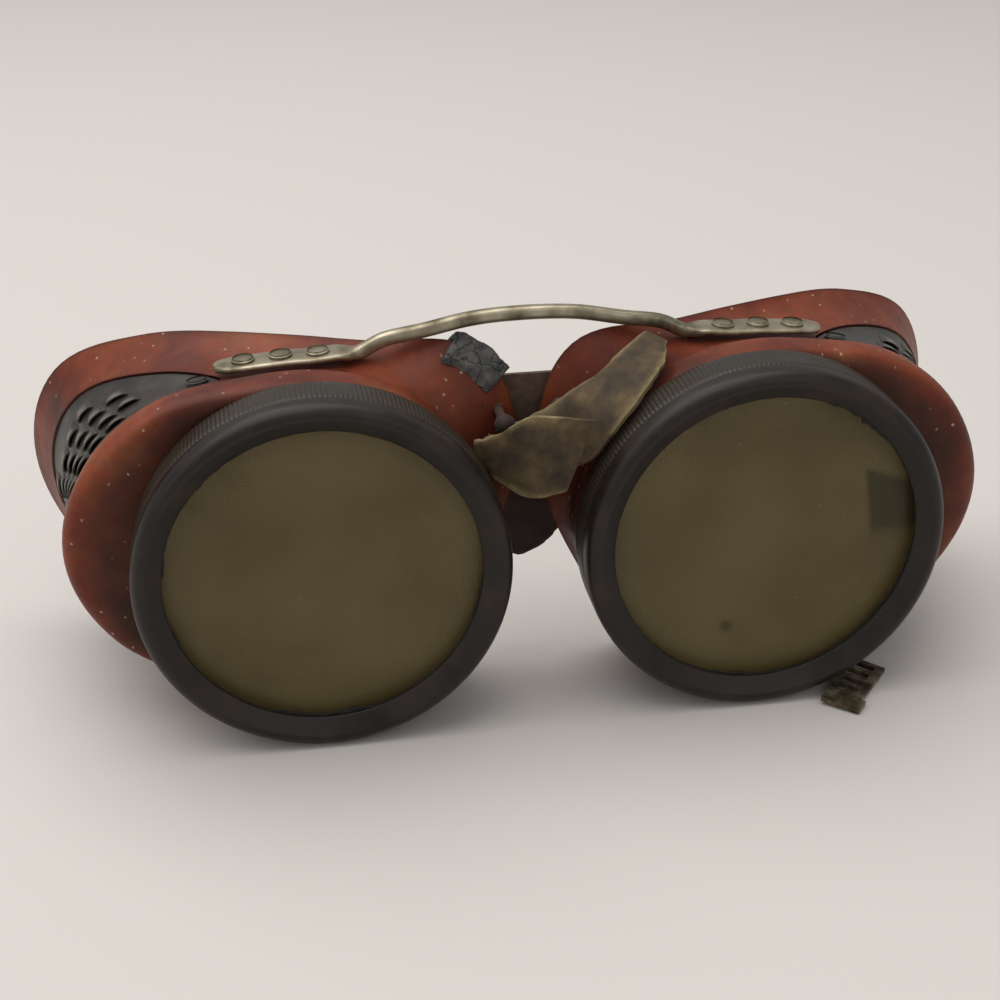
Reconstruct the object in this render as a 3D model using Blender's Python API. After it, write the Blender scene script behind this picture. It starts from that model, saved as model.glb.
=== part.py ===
"""Round cup goggles with screw-on lens rings, a wire bridge and slotted band slides.

Metres, +Z up. -Y is the front, where the lenses look, and +Y is the face side.
"left" is the -X eye and "right" the +X eye. Each eye is built in its own eye axes:
u points away from the nose, y back along the lens axis from the ring's front opening,
and z up. phi is the angle round the lens axis, 0 at the temple and 90 degrees on top.
"""
import math

import bmesh
import bpy
import numpy as np
from mathutils import Matrix, Vector

MM = 0.001
SEGMENTS = 36                      # facets round a lens axis

# Overall sizes
GLASS_RADIUS = 25.0 * MM           # a standard 50 mm round filter
NOSE_GAP = 10.9 * MM               # between the two lens rings
RIM_DEPTH = 30.0 * MM              # depth of the face rim straight above the lens axis
RIM_SLOPE = 0.41                   # how fast the face rim runs back towards the temple
RIM_CURVE = 3.0                    # and its bend, per metre

# Fits
GAP = 0.3 * MM                     # between fixed pieces that seat on each other
STACK_GAP = 0.2 * MM               # between the pieces of the lens stack
THREAD_GAP = 0.25 * MM             # radial room between ring thread and neck thread
HOLE_ROOM = 0.25 * MM              # radial room round a rivet's shank
FACET = 0.15 * MM                  # how far flat facets may stand out of a curved wall

# Lens ring and stack
RING_WALL = 1.1 * MM               # outside the thread groove
RING_LIP = 1.5 * MM                # how far the ring's lip covers the glass
RING_LIP_DEPTH = 1.5 * MM          # back face of the lip
RING_FRONT = -0.6 * MM             # front of the ring's rounded shoulder
GASKET_THICK = 0.5 * MM
COVER_THICK = 1.0 * MM
FILTER_THICK = 2.0 * MM
THREAD_PITCH = 1.4 * MM
THREAD_HEIGHT = 0.5 * MM
THREAD_TURNS = 1.75                # turns engaged when the ring is tight
NECK_LAND = 0.3 * MM               # plain neck in front of the thread

# Eye cup
CUP_WALL = 2.2 * MM
NECK_WALL = 2.8 * MM
SHOULDER_FLANGE = 0.5 * MM         # plain neck between the ring and the shoulder
BAND_DEPTH = 5.4 * MM              # shoulder, from the neck to the edge of the vent band
WAIST = 2.5 * MM                   # how far the wall is pulled in between shoulder and rim
LIP_ROUND = 0.8 * MM               # rounding of the face rim
# Radius from the lens axis every 22.5 degrees, from the temple over the top
BAND_RADII = [37.6, 36.6, 33.2, 28.8, 27.3, 27.0, 27.0, 27.2,
              27.4, 27.0, 26.9, 26.9, 27.2, 27.4, 28.9, 34.4]
RIM_RADII = [44.4, 42.7, 34.9, 29.1, 27.3, 29.4, 37.1, 34.6,
             30.0, 27.7, 28.5, 27.9, 27.4, 29.2, 34.4, 40.5]
TABLE_GLASS = 25.0 * MM            # the glass radius that these two tables were drawn for

# Side vent
VENT_TIP = math.radians(63)        # the crescent runs from +VENT_TIP to -VENT_TIP
VENT_THROUGH = math.radians(43)    # and is open through the wall as far as this
VENT_THICK = 0.8 * MM
VENT_RECESS = 1.4 * MM
VENT_SEAT = 1.8 * MM               # ledge that the vent rests on
VENT_RIVET_PHI = math.radians(56)
VENT_MIDDLE = (0.405, 0.25)        # its centre line between shoulder and rim, middle and tip
VENT_HALF = 0.36                   # and its half width there
VENT_ROWS = 5
VENT_COLUMNS = 16

# Rivets
RIVET_HEAD = 1.65 * MM
RIVET_HEAD_THICK = 0.5 * MM
RIVET_SHANK = 0.7 * MM
RIVET_SIDES = 10

# Bridge wire
WIRE_RADIUS = 1.1 * MM
WIRE_SIDES = 10
PLATE_BEHIND = 7.4 * MM            # from the face rim's depth forward to the plates' centre line
WIRE_ABOVE = 3.4 * MM              # wire's centre line over the top of the rings
PLATE_OUTER = 13.55 * MM           # outer end of each flattened plate, from the lens axis
PLATE_INNER = -4.95 * MM
PLATE_WIDTH = 5.6 * MM
PLATE_THICK = 1.1 * MM
BRIDGE_RIVETS = [-2.05 * MM, 3.55 * MM, 9.15 * MM]

# Leather and rubber
STRAP_THICK = 1.4 * MM
STRAP_TOP = 21.2 * MM
STRAP_LENGTH = 30.6 * MM
STRAP_FASTENER = (4.7 * MM, 17.5 * MM)   # from the mid plane, and height over the lens axes
LEATHER_THICK = 1.3 * MM
STUD_RADIUS = 1.6 * MM
STUD_DEPTH = 12.6 * MM
RUBBER_THICK = 1.2 * MM
RUBBER_ARC = (math.radians(129), math.radians(143))

# Headband hardware
ANCHOR_U = 13.5 * MM               # the anchor's shank, from the lens axis
ANCHOR_DEPTH = 28.0 * MM
ANCHOR_REACH = 3.4 * MM            # from the shank to the middle of the eye
ANCHOR_WASHER = 2.2 * MM
HARDWARE_HEIGHT = 1.6 * MM         # middle of the eyes above the table
LINK_WIRE = 0.4 * MM
LINK_EYE = 1.15 * MM               # radius of the link's round ends, to the wire's centre
LINK_LENGTH = 13.4 * MM            # between its two ends' centres
EYE_HOLE = 0.95 * MM
EYE_PLATE = 0.8 * MM
SLIDE_THICK = 0.8 * MM
SLIDE_LENGTH = 9.0 * MM
SLIDE_SLOT = 1.5 * MM
SLIDE_BAR = 1.0 * MM
SLIDE_SLOTS = 4
SLIDE_SHORT = 5.6 * MM             # length of the half that lies under the lens ring
SLIDE_EYE = 2.6 * MM               # from the slide's eye to its slotted part
SLIDE_TAB = 3.0 * MM               # width of the tab beside the slots
SLIDE_DROOP = math.radians(5.5)
# Which way the link and then the slide point, right and left: the left pair is swung back
LINK_HEADING = {1: math.radians(-94), -1: math.radians(155)}
SLIDE_HEADING = {1: math.radians(-40), -1: math.radians(120)}

# Worked out from the sizes above
PI2 = 2 * math.pi
OPENING_RADIUS = GLASS_RADIUS - RING_LIP
POCKET_RADIUS = GLASS_RADIUS + GAP
STACK = [("front_gasket", GASKET_THICK), ("cover_glass", COVER_THICK),
         ("filter_glass", FILTER_THICK), ("rear_gasket", GASKET_THICK)]
STACK_DEPTH = sum(thick for _, thick in STACK) + (len(STACK) + 1) * STACK_GAP
NECK_FRONT = RING_LIP_DEPTH + STACK_DEPTH
THREAD_ROOT = GLASS_RADIUS + 1.05 * MM
THREAD_START = NECK_FRONT + NECK_LAND
THREAD_END = THREAD_START + THREAD_TURNS * THREAD_PITCH
RING_BACK = THREAD_END + GAP
RING_RADIUS = THREAD_ROOT + THREAD_HEIGHT + THREAD_GAP + RING_WALL + 0.1 * MM
SHOULDER = RING_BACK + SHOULDER_FLANGE
BAND = SHOULDER + BAND_DEPTH
BORE_RADIUS = THREAD_ROOT - NECK_WALL
EYE_HALF = RING_RADIUS + NOSE_GAP / 2
BASE = -RING_RADIUS                # the rings stand on this height
BRIDGE_DEPTH = RIM_DEPTH - PLATE_BEHIND
BRIDGE_HEIGHT = RING_RADIUS + WIRE_ABOVE
# The nose leather is drawn for lens axes 66.9 mm apart, rings 56 mm wide and this bridge depth
NOSE_SCALE = Vector((EYE_HALF / (33.45 * MM), BRIDGE_DEPTH / (22.6 * MM), RING_RADIUS / (28 * MM)))

COLORS = {
    "fibre": ((0.20, 0.055, 0.030, 1), 0.45, 0.0),
    "blackened_metal": ((0.055, 0.052, 0.050, 1), 0.5, 0.6),
    "ring_moulding": ((0.050, 0.047, 0.048, 1), 0.4, 0.0),
    "nickel": ((0.42, 0.38, 0.30, 1), 0.4, 1.0),
    "steel": ((0.16, 0.13, 0.09, 1), 0.5, 0.9),
    "filter": ((0.055, 0.055, 0.02, 1), 0.1, 0.0),
    "clear_glass": ((0.35, 0.36, 0.30, 1), 0.05, 0.0),
    "leather": ((0.085, 0.062, 0.030, 1), 0.8, 0.0),
    "dark_leather": ((0.035, 0.018, 0.012, 1), 0.85, 0.0),
    "rubber": ((0.06, 0.065, 0.068, 1), 0.85, 0.0),
}


def material(name):
    found = bpy.data.materials.get(name)
    if found:
        return found
    color, roughness, metallic = COLORS[name]
    made = bpy.data.materials.new(name)
    made.use_nodes = True
    shader = made.node_tree.nodes["Principled BSDF"]
    shader.inputs["Base Color"].default_value = color
    shader.inputs["Roughness"].default_value = roughness
    shader.inputs["Metallic"].default_value = metallic
    return made


def add_object(name, bm, material_name, parent):
    """Turn a bmesh into a named object, smooth on its round faces."""
    bmesh.ops.remove_doubles(bm, verts=bm.verts, dist=0.002 * MM)
    bmesh.ops.recalc_face_normals(bm, faces=bm.faces)
    mesh = bpy.data.meshes.new(name)
    bm.to_mesh(mesh)
    bm.free()
    mesh.shade_smooth()
    mesh.set_sharp_from_angle(angle=math.radians(35))
    mesh.materials.append(material(material_name))
    made = bpy.data.objects.new(name, mesh)
    bpy.context.collection.objects.link(made)
    made.parent = parent
    return made


def add_empty(name, place, parent=None):
    made = bpy.data.objects.new(name, None)
    made.empty_display_size = 5 * MM
    made.location = place
    made.parent = parent
    bpy.context.collection.objects.link(made)
    return made


def boolean(target, cutter, operation="DIFFERENCE"):
    """Cut with, or join on, another object, which is then only a guide."""
    step = target.modifiers.new(cutter.name, "BOOLEAN")
    step.object = cutter
    step.operation = operation
    step.solver = "EXACT"
    cutter.hide_render = True
    cutter.display_type = "WIRE"


def add_face(bm, corners):
    """A face over the corners, unless it has shrunk to nothing."""
    corners = list(dict.fromkeys(corners))
    if len(corners) > 2:
        bm.faces.new(corners)


def grid_faces(bm, rows, closed_rows=False, closed_columns=True):
    """Quads between rows of vertices."""
    row_count = len(rows)
    column_count = len(rows[0])
    for i in range(row_count if closed_rows else row_count - 1):
        upper, lower = rows[(i + 1) % row_count], rows[i]
        for j in range(column_count if closed_columns else column_count - 1):
            k = (j + 1) % column_count
            add_face(bm, (lower[j], lower[k], upper[k], upper[j]))


def tube(bm, rings, closed=False):
    """A closed skin over rings of points; open ends are capped."""
    rows = [[bm.verts.new(point) for point in ring] for ring in rings]
    grid_faces(bm, rows, closed_rows=closed)
    if not closed:
        bm.faces.new(rows[0])
        bm.faces.new(list(reversed(rows[-1])))


def slab(bm, front, back):
    """A closed solid between two grids of points with the same rows and columns."""
    front_rows = [[bm.verts.new(point) for point in row] for row in front]
    back_rows = [[bm.verts.new(point) for point in row] for row in back]
    grid_faces(bm, front_rows, closed_columns=False)
    grid_faces(bm, back_rows, closed_columns=False)

    def edge(rows):
        left = [row[0] for row in rows]
        right = [row[-1] for row in rows]
        return rows[0][1:] + right[1:] + rows[-1][-2::-1] + left[-2::-1]
    grid_faces(bm, [edge(front_rows), edge(back_rows)])


def cell_plate(bm, xs, ys, thick, place, solid):
    """A flat plate made of the cells of an uneven grid for which solid(column, row) is true."""
    sheet = bmesh.new()
    spots = [[sheet.verts.new(place @ Vector((x, y, -thick / 2))) for y in ys] for x in xs]
    for i in range(len(xs) - 1):
        for j in range(len(ys) - 1):
            if solid(i, j):
                sheet.faces.new((spots[i][j], spots[i + 1][j], spots[i + 1][j + 1], spots[i][j + 1]))
    loose = [v for v in sheet.verts if not v.link_faces]
    bmesh.ops.delete(sheet, geom=loose, context="VERTS")
    raised = bmesh.ops.extrude_face_region(sheet, geom=sheet.faces[:] + sheet.edges[:],
                                           use_keep_orig=True)
    lift = place.to_3x3() @ Vector((0, 0, thick))
    bmesh.ops.translate(sheet, vec=lift,
                        verts=[v for v in raised["geom"] if isinstance(v, bmesh.types.BMVert)])
    mesh = bpy.data.meshes.new("plate")
    sheet.to_mesh(mesh)
    sheet.free()
    bm.from_mesh(mesh)
    bpy.data.meshes.remove(mesh)


def add_cylinder(bm, start, end, radius, segments=12):
    """A cylinder between two points."""
    start, end = Vector(start), Vector(end)
    turn = Vector((0, 0, 1)).rotation_difference(end - start).to_matrix().to_4x4()
    place = Matrix.Translation((start + end) / 2) @ turn
    bmesh.ops.create_cone(bm, cap_ends=True, segments=segments, radius1=radius, radius2=radius,
                          depth=(end - start).length, matrix=place)


def angles(count=SEGMENTS):
    return [PI2 * j / count for j in range(count)]


def turned(bm, profile):
    """A closed profile of (radius, depth) turned round the lens axis."""
    rings = []
    for phi in angles():
        rings.append([(r * math.cos(phi), y, r * math.sin(phi)) for r, y in profile])
    tube(bm, rings, closed=True)


def periodic(table, phi):
    """Smooth closed curve through evenly spaced values (Catmull-Rom)."""
    place = (phi % PI2) / PI2 * len(table)
    i = int(place)
    t = place - i
    p0, p1, p2, p3 = [table[(i + k) % len(table)] for k in (-1, 0, 1, 2)]
    return 0.5 * (2 * p1 + (p2 - p0) * t + (2 * p0 - 5 * p1 + 4 * p2 - p3) * t ** 2
                  + (3 * p1 - p0 - 3 * p2 + p3) * t ** 3)


def through(points, count):
    """Evenly numbered points on a smooth open curve through the given ones."""
    points = [np.array(p, float) for p in points]
    ends = [2 * points[0] - points[1]] + points + [2 * points[-1] - points[-2]]
    made = []
    for step in range(count):
        place = step / (count - 1) * (len(points) - 1)
        i = min(int(place), len(points) - 2)
        t = place - i
        p0, p1, p2, p3 = ends[i:i + 4]
        made.append(0.5 * (2 * p1 + (p2 - p0) * t + (2 * p0 - 5 * p1 + 4 * p2 - p3) * t ** 2
                           + (3 * p1 - p0 - 3 * p2 + p3) * t ** 3))
    return made


# ---- the eye cup's surface ----

def band_radius(phi):
    return periodic(BAND_RADII, phi) * MM + GLASS_RADIUS - TABLE_GLASS


def rim_radius(phi):
    return periodic(RIM_RADII, phi) * MM + GLASS_RADIUS - TABLE_GLASS


def rim_depth(phi):
    u = rim_radius(phi) * math.cos(phi)
    return RIM_DEPTH + RIM_SLOPE * u + RIM_CURVE * u * u


def wall_length(phi):
    return rim_depth(phi) - BAND


def cup_point(phi, share, inward=0.0):
    """A point on the cup's side, from the shoulder's edge (0) to the face rim (1)."""
    within = min(max(share, 0.0), 1.0)
    waist = min(WAIST, 0.14 * wall_length(phi)) * max(math.sin(math.pi * within), 0.0) ** 0.8
    r = (1 - share) * band_radius(phi) + share * rim_radius(phi) - waist - inward
    y = BAND + share * wall_length(phi)
    return Vector((r * math.cos(phi), y, r * math.sin(phi)))


def share_at_depth(phi, y):
    return (y - BAND) / wall_length(phi)


def halved(reached, low, high):
    """Where reached() turns true between low and high, found by halving."""
    for _ in range(30):
        middle = (low + high) / 2
        if reached(middle):
            high = middle
        else:
            low = middle
    return (low + high) / 2


def wall_spot(u, y, sign):
    """The point of the cup's top (sign 1) or bottom (-1) at this width and depth."""
    def spot(phi):
        return cup_point(sign * phi, share_at_depth(sign * phi, y))
    return spot(halved(lambda phi: spot(phi).x < u, math.radians(20), math.radians(150)))


def wall_normal(spot):
    """Outward direction of the cup's side at a point of it."""
    phi = math.atan2(spot.z, spot.x)
    share = share_at_depth(phi, spot.y)
    step = 0.01
    around = cup_point(phi + step, share) - cup_point(phi - step, share)
    back = cup_point(phi, share + step) - cup_point(phi, share - step)
    return back.cross(around).normalized()


def flare_depth(u, z):
    """Depth of the cup's side straight behind a point beside its lens axis."""
    phi, radius = math.atan2(z, u), math.hypot(u, z)

    def outside(share):
        spot = cup_point(phi, share)
        return math.hypot(spot.x, spot.z) > radius
    return cup_point(phi, halved(outside, 0, 1)).y


def thread_rows(start, end, offset):
    """Helix-wound rows of (angle, radius, depth) from start to end of a thread.

    Right-handed, so a ring comes forward as it turns anticlockwise seen from the front.
    Four rows make one pitch: two on the root and two on the crest. Ring and neck count
    their rows from the same depth, so that their threads are in step.
    """
    top = THREAD_END + THREAD_PITCH
    row_count = math.ceil(4 * (top - start) / THREAD_PITCH) + 5
    rows = []
    for k in range(row_count):
        row = []
        for j in range(SEGMENTS):
            raw = top - THREAD_PITCH * ((k - 4) / 4 + j / SEGMENTS)
            inside = start < raw < end
            raised = k % 4 >= 2 if inside else offset > 0
            radius = THREAD_ROOT + offset + (THREAD_HEIGHT if raised else 0)
            row.append((PI2 * j / SEGMENTS, radius, min(max(raw, start), end)))
        rows.append(row)
    return rows


def threaded_skin(bm, profile_before, rows, profile_after):
    """Turned skin with a helical stretch between plain rings, open at both ends.

    The thread isn't mirrored on the left eye, because both rings turn the same way.
    """
    def vert(angle, radius, depth):
        return bm.verts.new((radius * math.cos(angle), depth, radius * math.sin(angle)))
    helix = [[vert(*spot) for spot in row] for row in rows]
    last = len(helix) - 1
    for k in range(last):
        for j in range(SEGMENTS - 1):
            add_face(bm, (helix[k][j], helix[k][j + 1], helix[k + 1][j + 1], helix[k + 1][j]))
        add_face(bm, (helix[k][-1], helix[min(k + 4, last)][0],
                      helix[min(k + 5, last)][0], helix[k + 1][-1]))
    for profile, edge in ((profile_before, helix[-1]), (profile_after, helix[0])):
        for radius, depth in profile:
            ring = [vert(angle, radius, depth) for angle in angles()]
            grid_faces(bm, [edge, ring])
            edge = ring


def clean(bm):
    bmesh.ops.remove_doubles(bm, verts=bm.verts, dist=0.002 * MM)
    bmesh.ops.dissolve_degenerate(bm, dist=0.001 * MM, edges=bm.edges)


def lens_ring(side, parent):
    """Screw-on ring: rounded front, lip over the glass, pocket and internal thread."""
    bm = bmesh.new()
    groove = THREAD_ROOT + THREAD_GAP + THREAD_HEIGHT
    inside = thread_rows(NECK_FRONT + NECK_LAND / 2, RING_BACK - 0.2 * MM, THREAD_GAP)
    front = [(groove, NECK_FRONT - 0.3 * MM), (POCKET_RADIUS, NECK_FRONT - 0.3 * MM),
             (POCKET_RADIUS, RING_LIP_DEPTH), (OPENING_RADIUS, RING_LIP_DEPTH),
             (OPENING_RADIUS, 0.5 * MM), (OPENING_RADIUS + 0.6 * MM, 0),
             (RING_RADIUS - 3.0 * MM, RING_FRONT + 0.2 * MM), (RING_RADIUS - 2.2 * MM, RING_FRONT),
             (RING_RADIUS - 0.9 * MM, RING_FRONT + 0.3 * MM),
             (RING_RADIUS - 0.15 * MM, RING_FRONT + 1.2 * MM), (RING_RADIUS, RING_FRONT + 2.4 * MM)]
    back = [(groove, RING_BACK), (RING_RADIUS - 0.4 * MM, RING_BACK),
            (RING_RADIUS, RING_BACK - 0.4 * MM), (RING_RADIUS, RING_FRONT + 2.4 * MM)]
    threaded_skin(bm, front, inside, back)
    clean(bm)
    return add_object(side_name(side) + "_lens_ring", bm, "ring_moulding", parent)


def cup_skin(side):
    """The cup's closed wall: neck thread, shoulder, side, face rim and the same inside."""
    bm = bmesh.new()
    rows = thread_rows(THREAD_START, THREAD_END, 0)
    rear = [(THREAD_ROOT, SHOULDER), (THREAD_ROOT + 0.9 * MM, SHOULDER)]
    front = [(THREAD_ROOT, NECK_FRONT), (BORE_RADIUS, NECK_FRONT), (BORE_RADIUS, SHOULDER + CUP_WALL)]
    threaded_skin(bm, front, rows, rear)
    clean(bm)
    bm.verts.ensure_lookup_table()
    bm.edges.ensure_lookup_table()

    def boundary(radius, depth):
        near = [v for v in bm.verts if abs(v.co.y - depth) < 0.001 * MM
                and abs(math.hypot(v.co.x, v.co.z) - radius) < 0.01 * MM and v.is_boundary]
        return sorted(near, key=lambda v: math.atan2(v.co.z, side * v.co.x) % PI2)
    outer_edge = boundary(THREAD_ROOT + 0.9 * MM, SHOULDER)
    inner_edge = boundary(BORE_RADIUS, SHOULDER + CUP_WALL)

    def ring(place):
        made = []
        for phi in angles():
            spot = place(phi)
            made.append(bm.verts.new((side * spot[0], spot[1], spot[2])))
        return made

    def shoulder(share, depth, base, inward):
        def place(phi):
            r = (1 - share) * base + share * (band_radius(phi) - inward)
            return (r * math.cos(phi), depth, r * math.sin(phi))
        return place

    def wall(share, inward):
        return lambda phi: cup_point(phi, share, inward)

    def lip(phi):
        return cup_point(phi, 1.0, CUP_WALL / 2) + Vector((0, LIP_ROUND, 0))
    base = THREAD_ROOT + 0.9 * MM
    shares = [0.07, 0.20, 0.38, 0.58, 0.77, 0.91, 1.0]
    bulge = [(0.50, 0.0), (0.84, 0.12), (0.98, 0.36), (1.02, 0.66)]
    outside = [shoulder(share, SHOULDER + deep * BAND_DEPTH, base, 0) for share, deep in bulge]
    outside.append(wall(0, 0))
    outside += [wall(share, 0) for share in shares]
    inside = [wall(share, CUP_WALL) for share in (1.0, 0.82, 0.58, 0.32, 0.13)]
    inside += [wall(0.03, CUP_WALL), shoulder(0.85, SHOULDER + 3.2 * MM, BORE_RADIUS, CUP_WALL)]
    rows = [outer_edge] + [ring(place) for place in outside] + [ring(lip)]
    rows += [ring(place) for place in inside] + [inner_edge]
    grid_faces(bm, rows)
    return bm


def vent_shape(phi, margin):
    """The two edges of the vent at an angle, as shares of the wall, drawn in by a margin."""
    reach = VENT_TIP - margin / band_radius(VENT_TIP)
    s = min(abs(phi) / reach, 1.0)
    middle = VENT_MIDDLE[0] + (VENT_MIDDLE[1] - VENT_MIDDLE[0]) * s ** 2
    half = VENT_HALF * (1 - s ** 2.4) ** 0.52
    half = max(half - margin / wall_length(phi), 0)
    return middle - half, middle + half


def vent_grid(reach, margin, inward):
    """Points over the crescent between -reach and +reach."""
    grid = []
    for j in range(VENT_COLUMNS + 1):
        phi = reach * math.sin(math.pi / 2 * (2 * j / VENT_COLUMNS - 1))
        low, high = vent_shape(phi, margin)
        if high - low < 0.01:
            low, high = (low + high) / 2 - 0.005, (low + high) / 2 + 0.005
        grid.append([cup_point(phi, low + (high - low) * i / (VENT_ROWS - 1), inward)
                     for i in range(VENT_ROWS)])
    return grid


def mirrored(points, side):
    return [[(side * p[0], p[1], p[2]) for p in row] for row in points]


def vent_solid(side, reach, margin, outer, inner):
    bm = bmesh.new()
    slab(bm, mirrored(vent_grid(reach, margin, outer), side),
         mirrored(vent_grid(reach, margin, inner), side))
    return bm


def rivet_spots():
    """Where each rivet goes through the cup: name, point on the outside, outward direction."""
    spots = []
    for name, sign in (("upper", 1), ("lower", -1)):
        phi = sign * VENT_RIVET_PHI
        spot = cup_point(phi, sum(vent_shape(phi, 0)) / 2)
        spots.append(("vent_rivet_" + name, spot, wall_normal(spot)))
    for number, u in enumerate(BRIDGE_RIVETS, 1):
        spots.append(("bridge_rivet_%d" % number, wall_spot(u, BRIDGE_DEPTH, 1), Vector((0, 0, 1))))
    return spots


def strap_spot():
    """Where the nose strap's fastener goes through the cup's nasal flare."""
    x, z = STRAP_FASTENER[0] * NOSE_SCALE.x, STRAP_FASTENER[1] * NOSE_SCALE.z
    u = x - EYE_HALF
    return "strap_fastener", Vector((u, flare_depth(u, z), z)), Vector((0, -1, 0))


def lathed(base, along, levels):
    """A closed round solid: radii and heights along a direction from its base."""
    turn = Vector((0, 0, 1)).rotation_difference(along).to_matrix()
    bm = bmesh.new()
    tube(bm, [[base + turn @ Vector((radius * math.cos(a), radius * math.sin(a), height))
               for a in angles(RIVET_SIDES)] for radius, height in levels])
    return bm


def rivet(name, base, along, grip_out, grip_in, parent, look):
    """A flat-headed rivet: head outside, shank through the wall, closed head inside."""
    levels = [(RIVET_HEAD * 0.86, grip_out + RIVET_HEAD_THICK),
              (RIVET_HEAD, grip_out + RIVET_HEAD_THICK * 0.6), (RIVET_HEAD, grip_out),
              (RIVET_SHANK, grip_out), (RIVET_SHANK, -grip_in),
              (RIVET_HEAD * 0.9, -grip_in), (RIVET_HEAD * 0.8, -grip_in - RIVET_HEAD_THICK)]
    return add_object(name, lathed(base, along, levels), look, parent)


def flipped(point, side):
    return Vector((side * point[0], point[1], point[2]))


def side_name(side):
    return "right" if side > 0 else "left"


def build_eye(side, root):
    """Everything on one lens axis: cup, vent, stack, ring and the rivets through the cup."""
    name = side_name(side)
    axis = add_empty(name + "_lens_axis", (side * EYE_HALF, 0, 0), root)
    cup = add_object(name + "_eye_cup", cup_skin(side), "fibre", axis)

    recess = add_object(name + "_vent_recess_cutter",
                        vent_solid(side, VENT_TIP, 0, -2 * MM, VENT_RECESS), "fibre", axis)
    opening = add_object(name + "_vent_opening_cutter",
                         vent_solid(side, VENT_THROUGH, VENT_SEAT, -3 * MM, CUP_WALL + 3 * MM),
                         "fibre", axis)
    holes = bmesh.new()
    for _, spot, direction in rivet_spots() + [anchor_spot(), strap_spot()]:
        place, along = flipped(spot, side), flipped(direction, side)
        add_cylinder(holes, place + along * 3 * MM, place - along * (CUP_WALL + 3 * MM),
                     RIVET_SHANK + HOLE_ROOM)
    hole_cutter = add_object(name + "_rivet_hole_cutter", holes, "fibre", axis)
    for cutter in (recess, opening, hole_cutter):
        boolean(cup, cutter)

    seat = VENT_RECESS - GAP
    panel = add_object(name + "_side_vent",
                       vent_solid(side, VENT_TIP - GAP / GLASS_RADIUS, GAP, seat - VENT_THICK, seat),
                       "blackened_metal", axis)
    boolean(panel, hole_cutter)

    for label, spot, direction in rivet_spots():
        if label.startswith("vent"):
            grip_out, grip_in, look = GAP - (seat - VENT_THICK), CUP_WALL + 1.5 * GAP, "blackened_metal"
        else:
            grip_out, grip_in, look = plate_lift(spot.x) + PLATE_THICK + GAP, CUP_WALL + 2 * GAP, "nickel"
        rivet(name + "_" + label, flipped(spot, side), flipped(direction, side),
              grip_out, grip_in, axis, look)

    depth = RING_LIP_DEPTH + STACK_GAP
    for label, thick in STACK:
        bm = bmesh.new()
        if "glass" in label:
            add_cylinder(bm, (0, depth, 0), (0, depth + thick, 0), GLASS_RADIUS, SEGMENTS)
            look = "filter" if label == "filter_glass" else "clear_glass"
        else:
            turned(bm, [(GLASS_RADIUS, depth), (GLASS_RADIUS, depth + thick),
                        (OPENING_RADIUS + 0.2 * MM, depth + thick), (OPENING_RADIUS + 0.2 * MM, depth)])
            look = "rubber"
        add_object(name + "_" + label, bm, look, axis)
        depth += thick + STACK_GAP
    lens_ring(side, axis)
    return axis


# ---- bridge wire ----

def plate_lift(u):
    """Height of the plate's underside over the cup, clear of its highest point below it."""
    heights = [wall_spot(u, BRIDGE_DEPTH + k * PLATE_WIDTH / 2, 1).z for k in (-1, 0, 1)]
    return max(heights) - heights[1] + GAP + FACET


def plate_height(u):
    return wall_spot(u, BRIDGE_DEPTH, 1).z + plate_lift(u) + PLATE_THICK / 2


def wire_sections():
    """Half of the bridge, from a plate's outer end to the middle: x, z, half width, half height."""
    sections = []
    for share in (0, 0.05, 0.25, 0.45, 0.65, 0.85, 1.0):
        u = PLATE_OUTER + (PLATE_INNER - PLATE_OUTER) * share
        wide = PLATE_WIDTH / 2 * (0.45 if share == 0 else 1.0)
        sections.append((u + EYE_HALF, plate_height(u), wide, PLATE_THICK / 2))
    inner, start = EYE_HALF + PLATE_INNER, plate_height(PLATE_INNER)
    bend = [(inner, start), (inner - 3.2 * MM, start - 0.2 * MM), (inner - 7.2 * MM, start + 1.6 * MM),
            (inner * 0.54, BRIDGE_HEIGHT - 1.8 * MM), (inner * 0.28, BRIDGE_HEIGHT - 0.4 * MM),
            (0, BRIDGE_HEIGHT), (-inner * 0.28, BRIDGE_HEIGHT - 0.4 * MM)]
    steps = 3
    curve = through(bend, (len(bend) - 1) * steps + 1)
    for k, (x, z) in enumerate(curve[1:-steps], 1):
        flat = max(0.0, 1 - k / steps)
        sections.append((x, z, WIRE_RADIUS + flat * (PLATE_WIDTH / 2 - WIRE_RADIUS) * 0.8,
                         WIRE_RADIUS + flat * (PLATE_THICK / 2 - WIRE_RADIUS)))
    return sections


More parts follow.
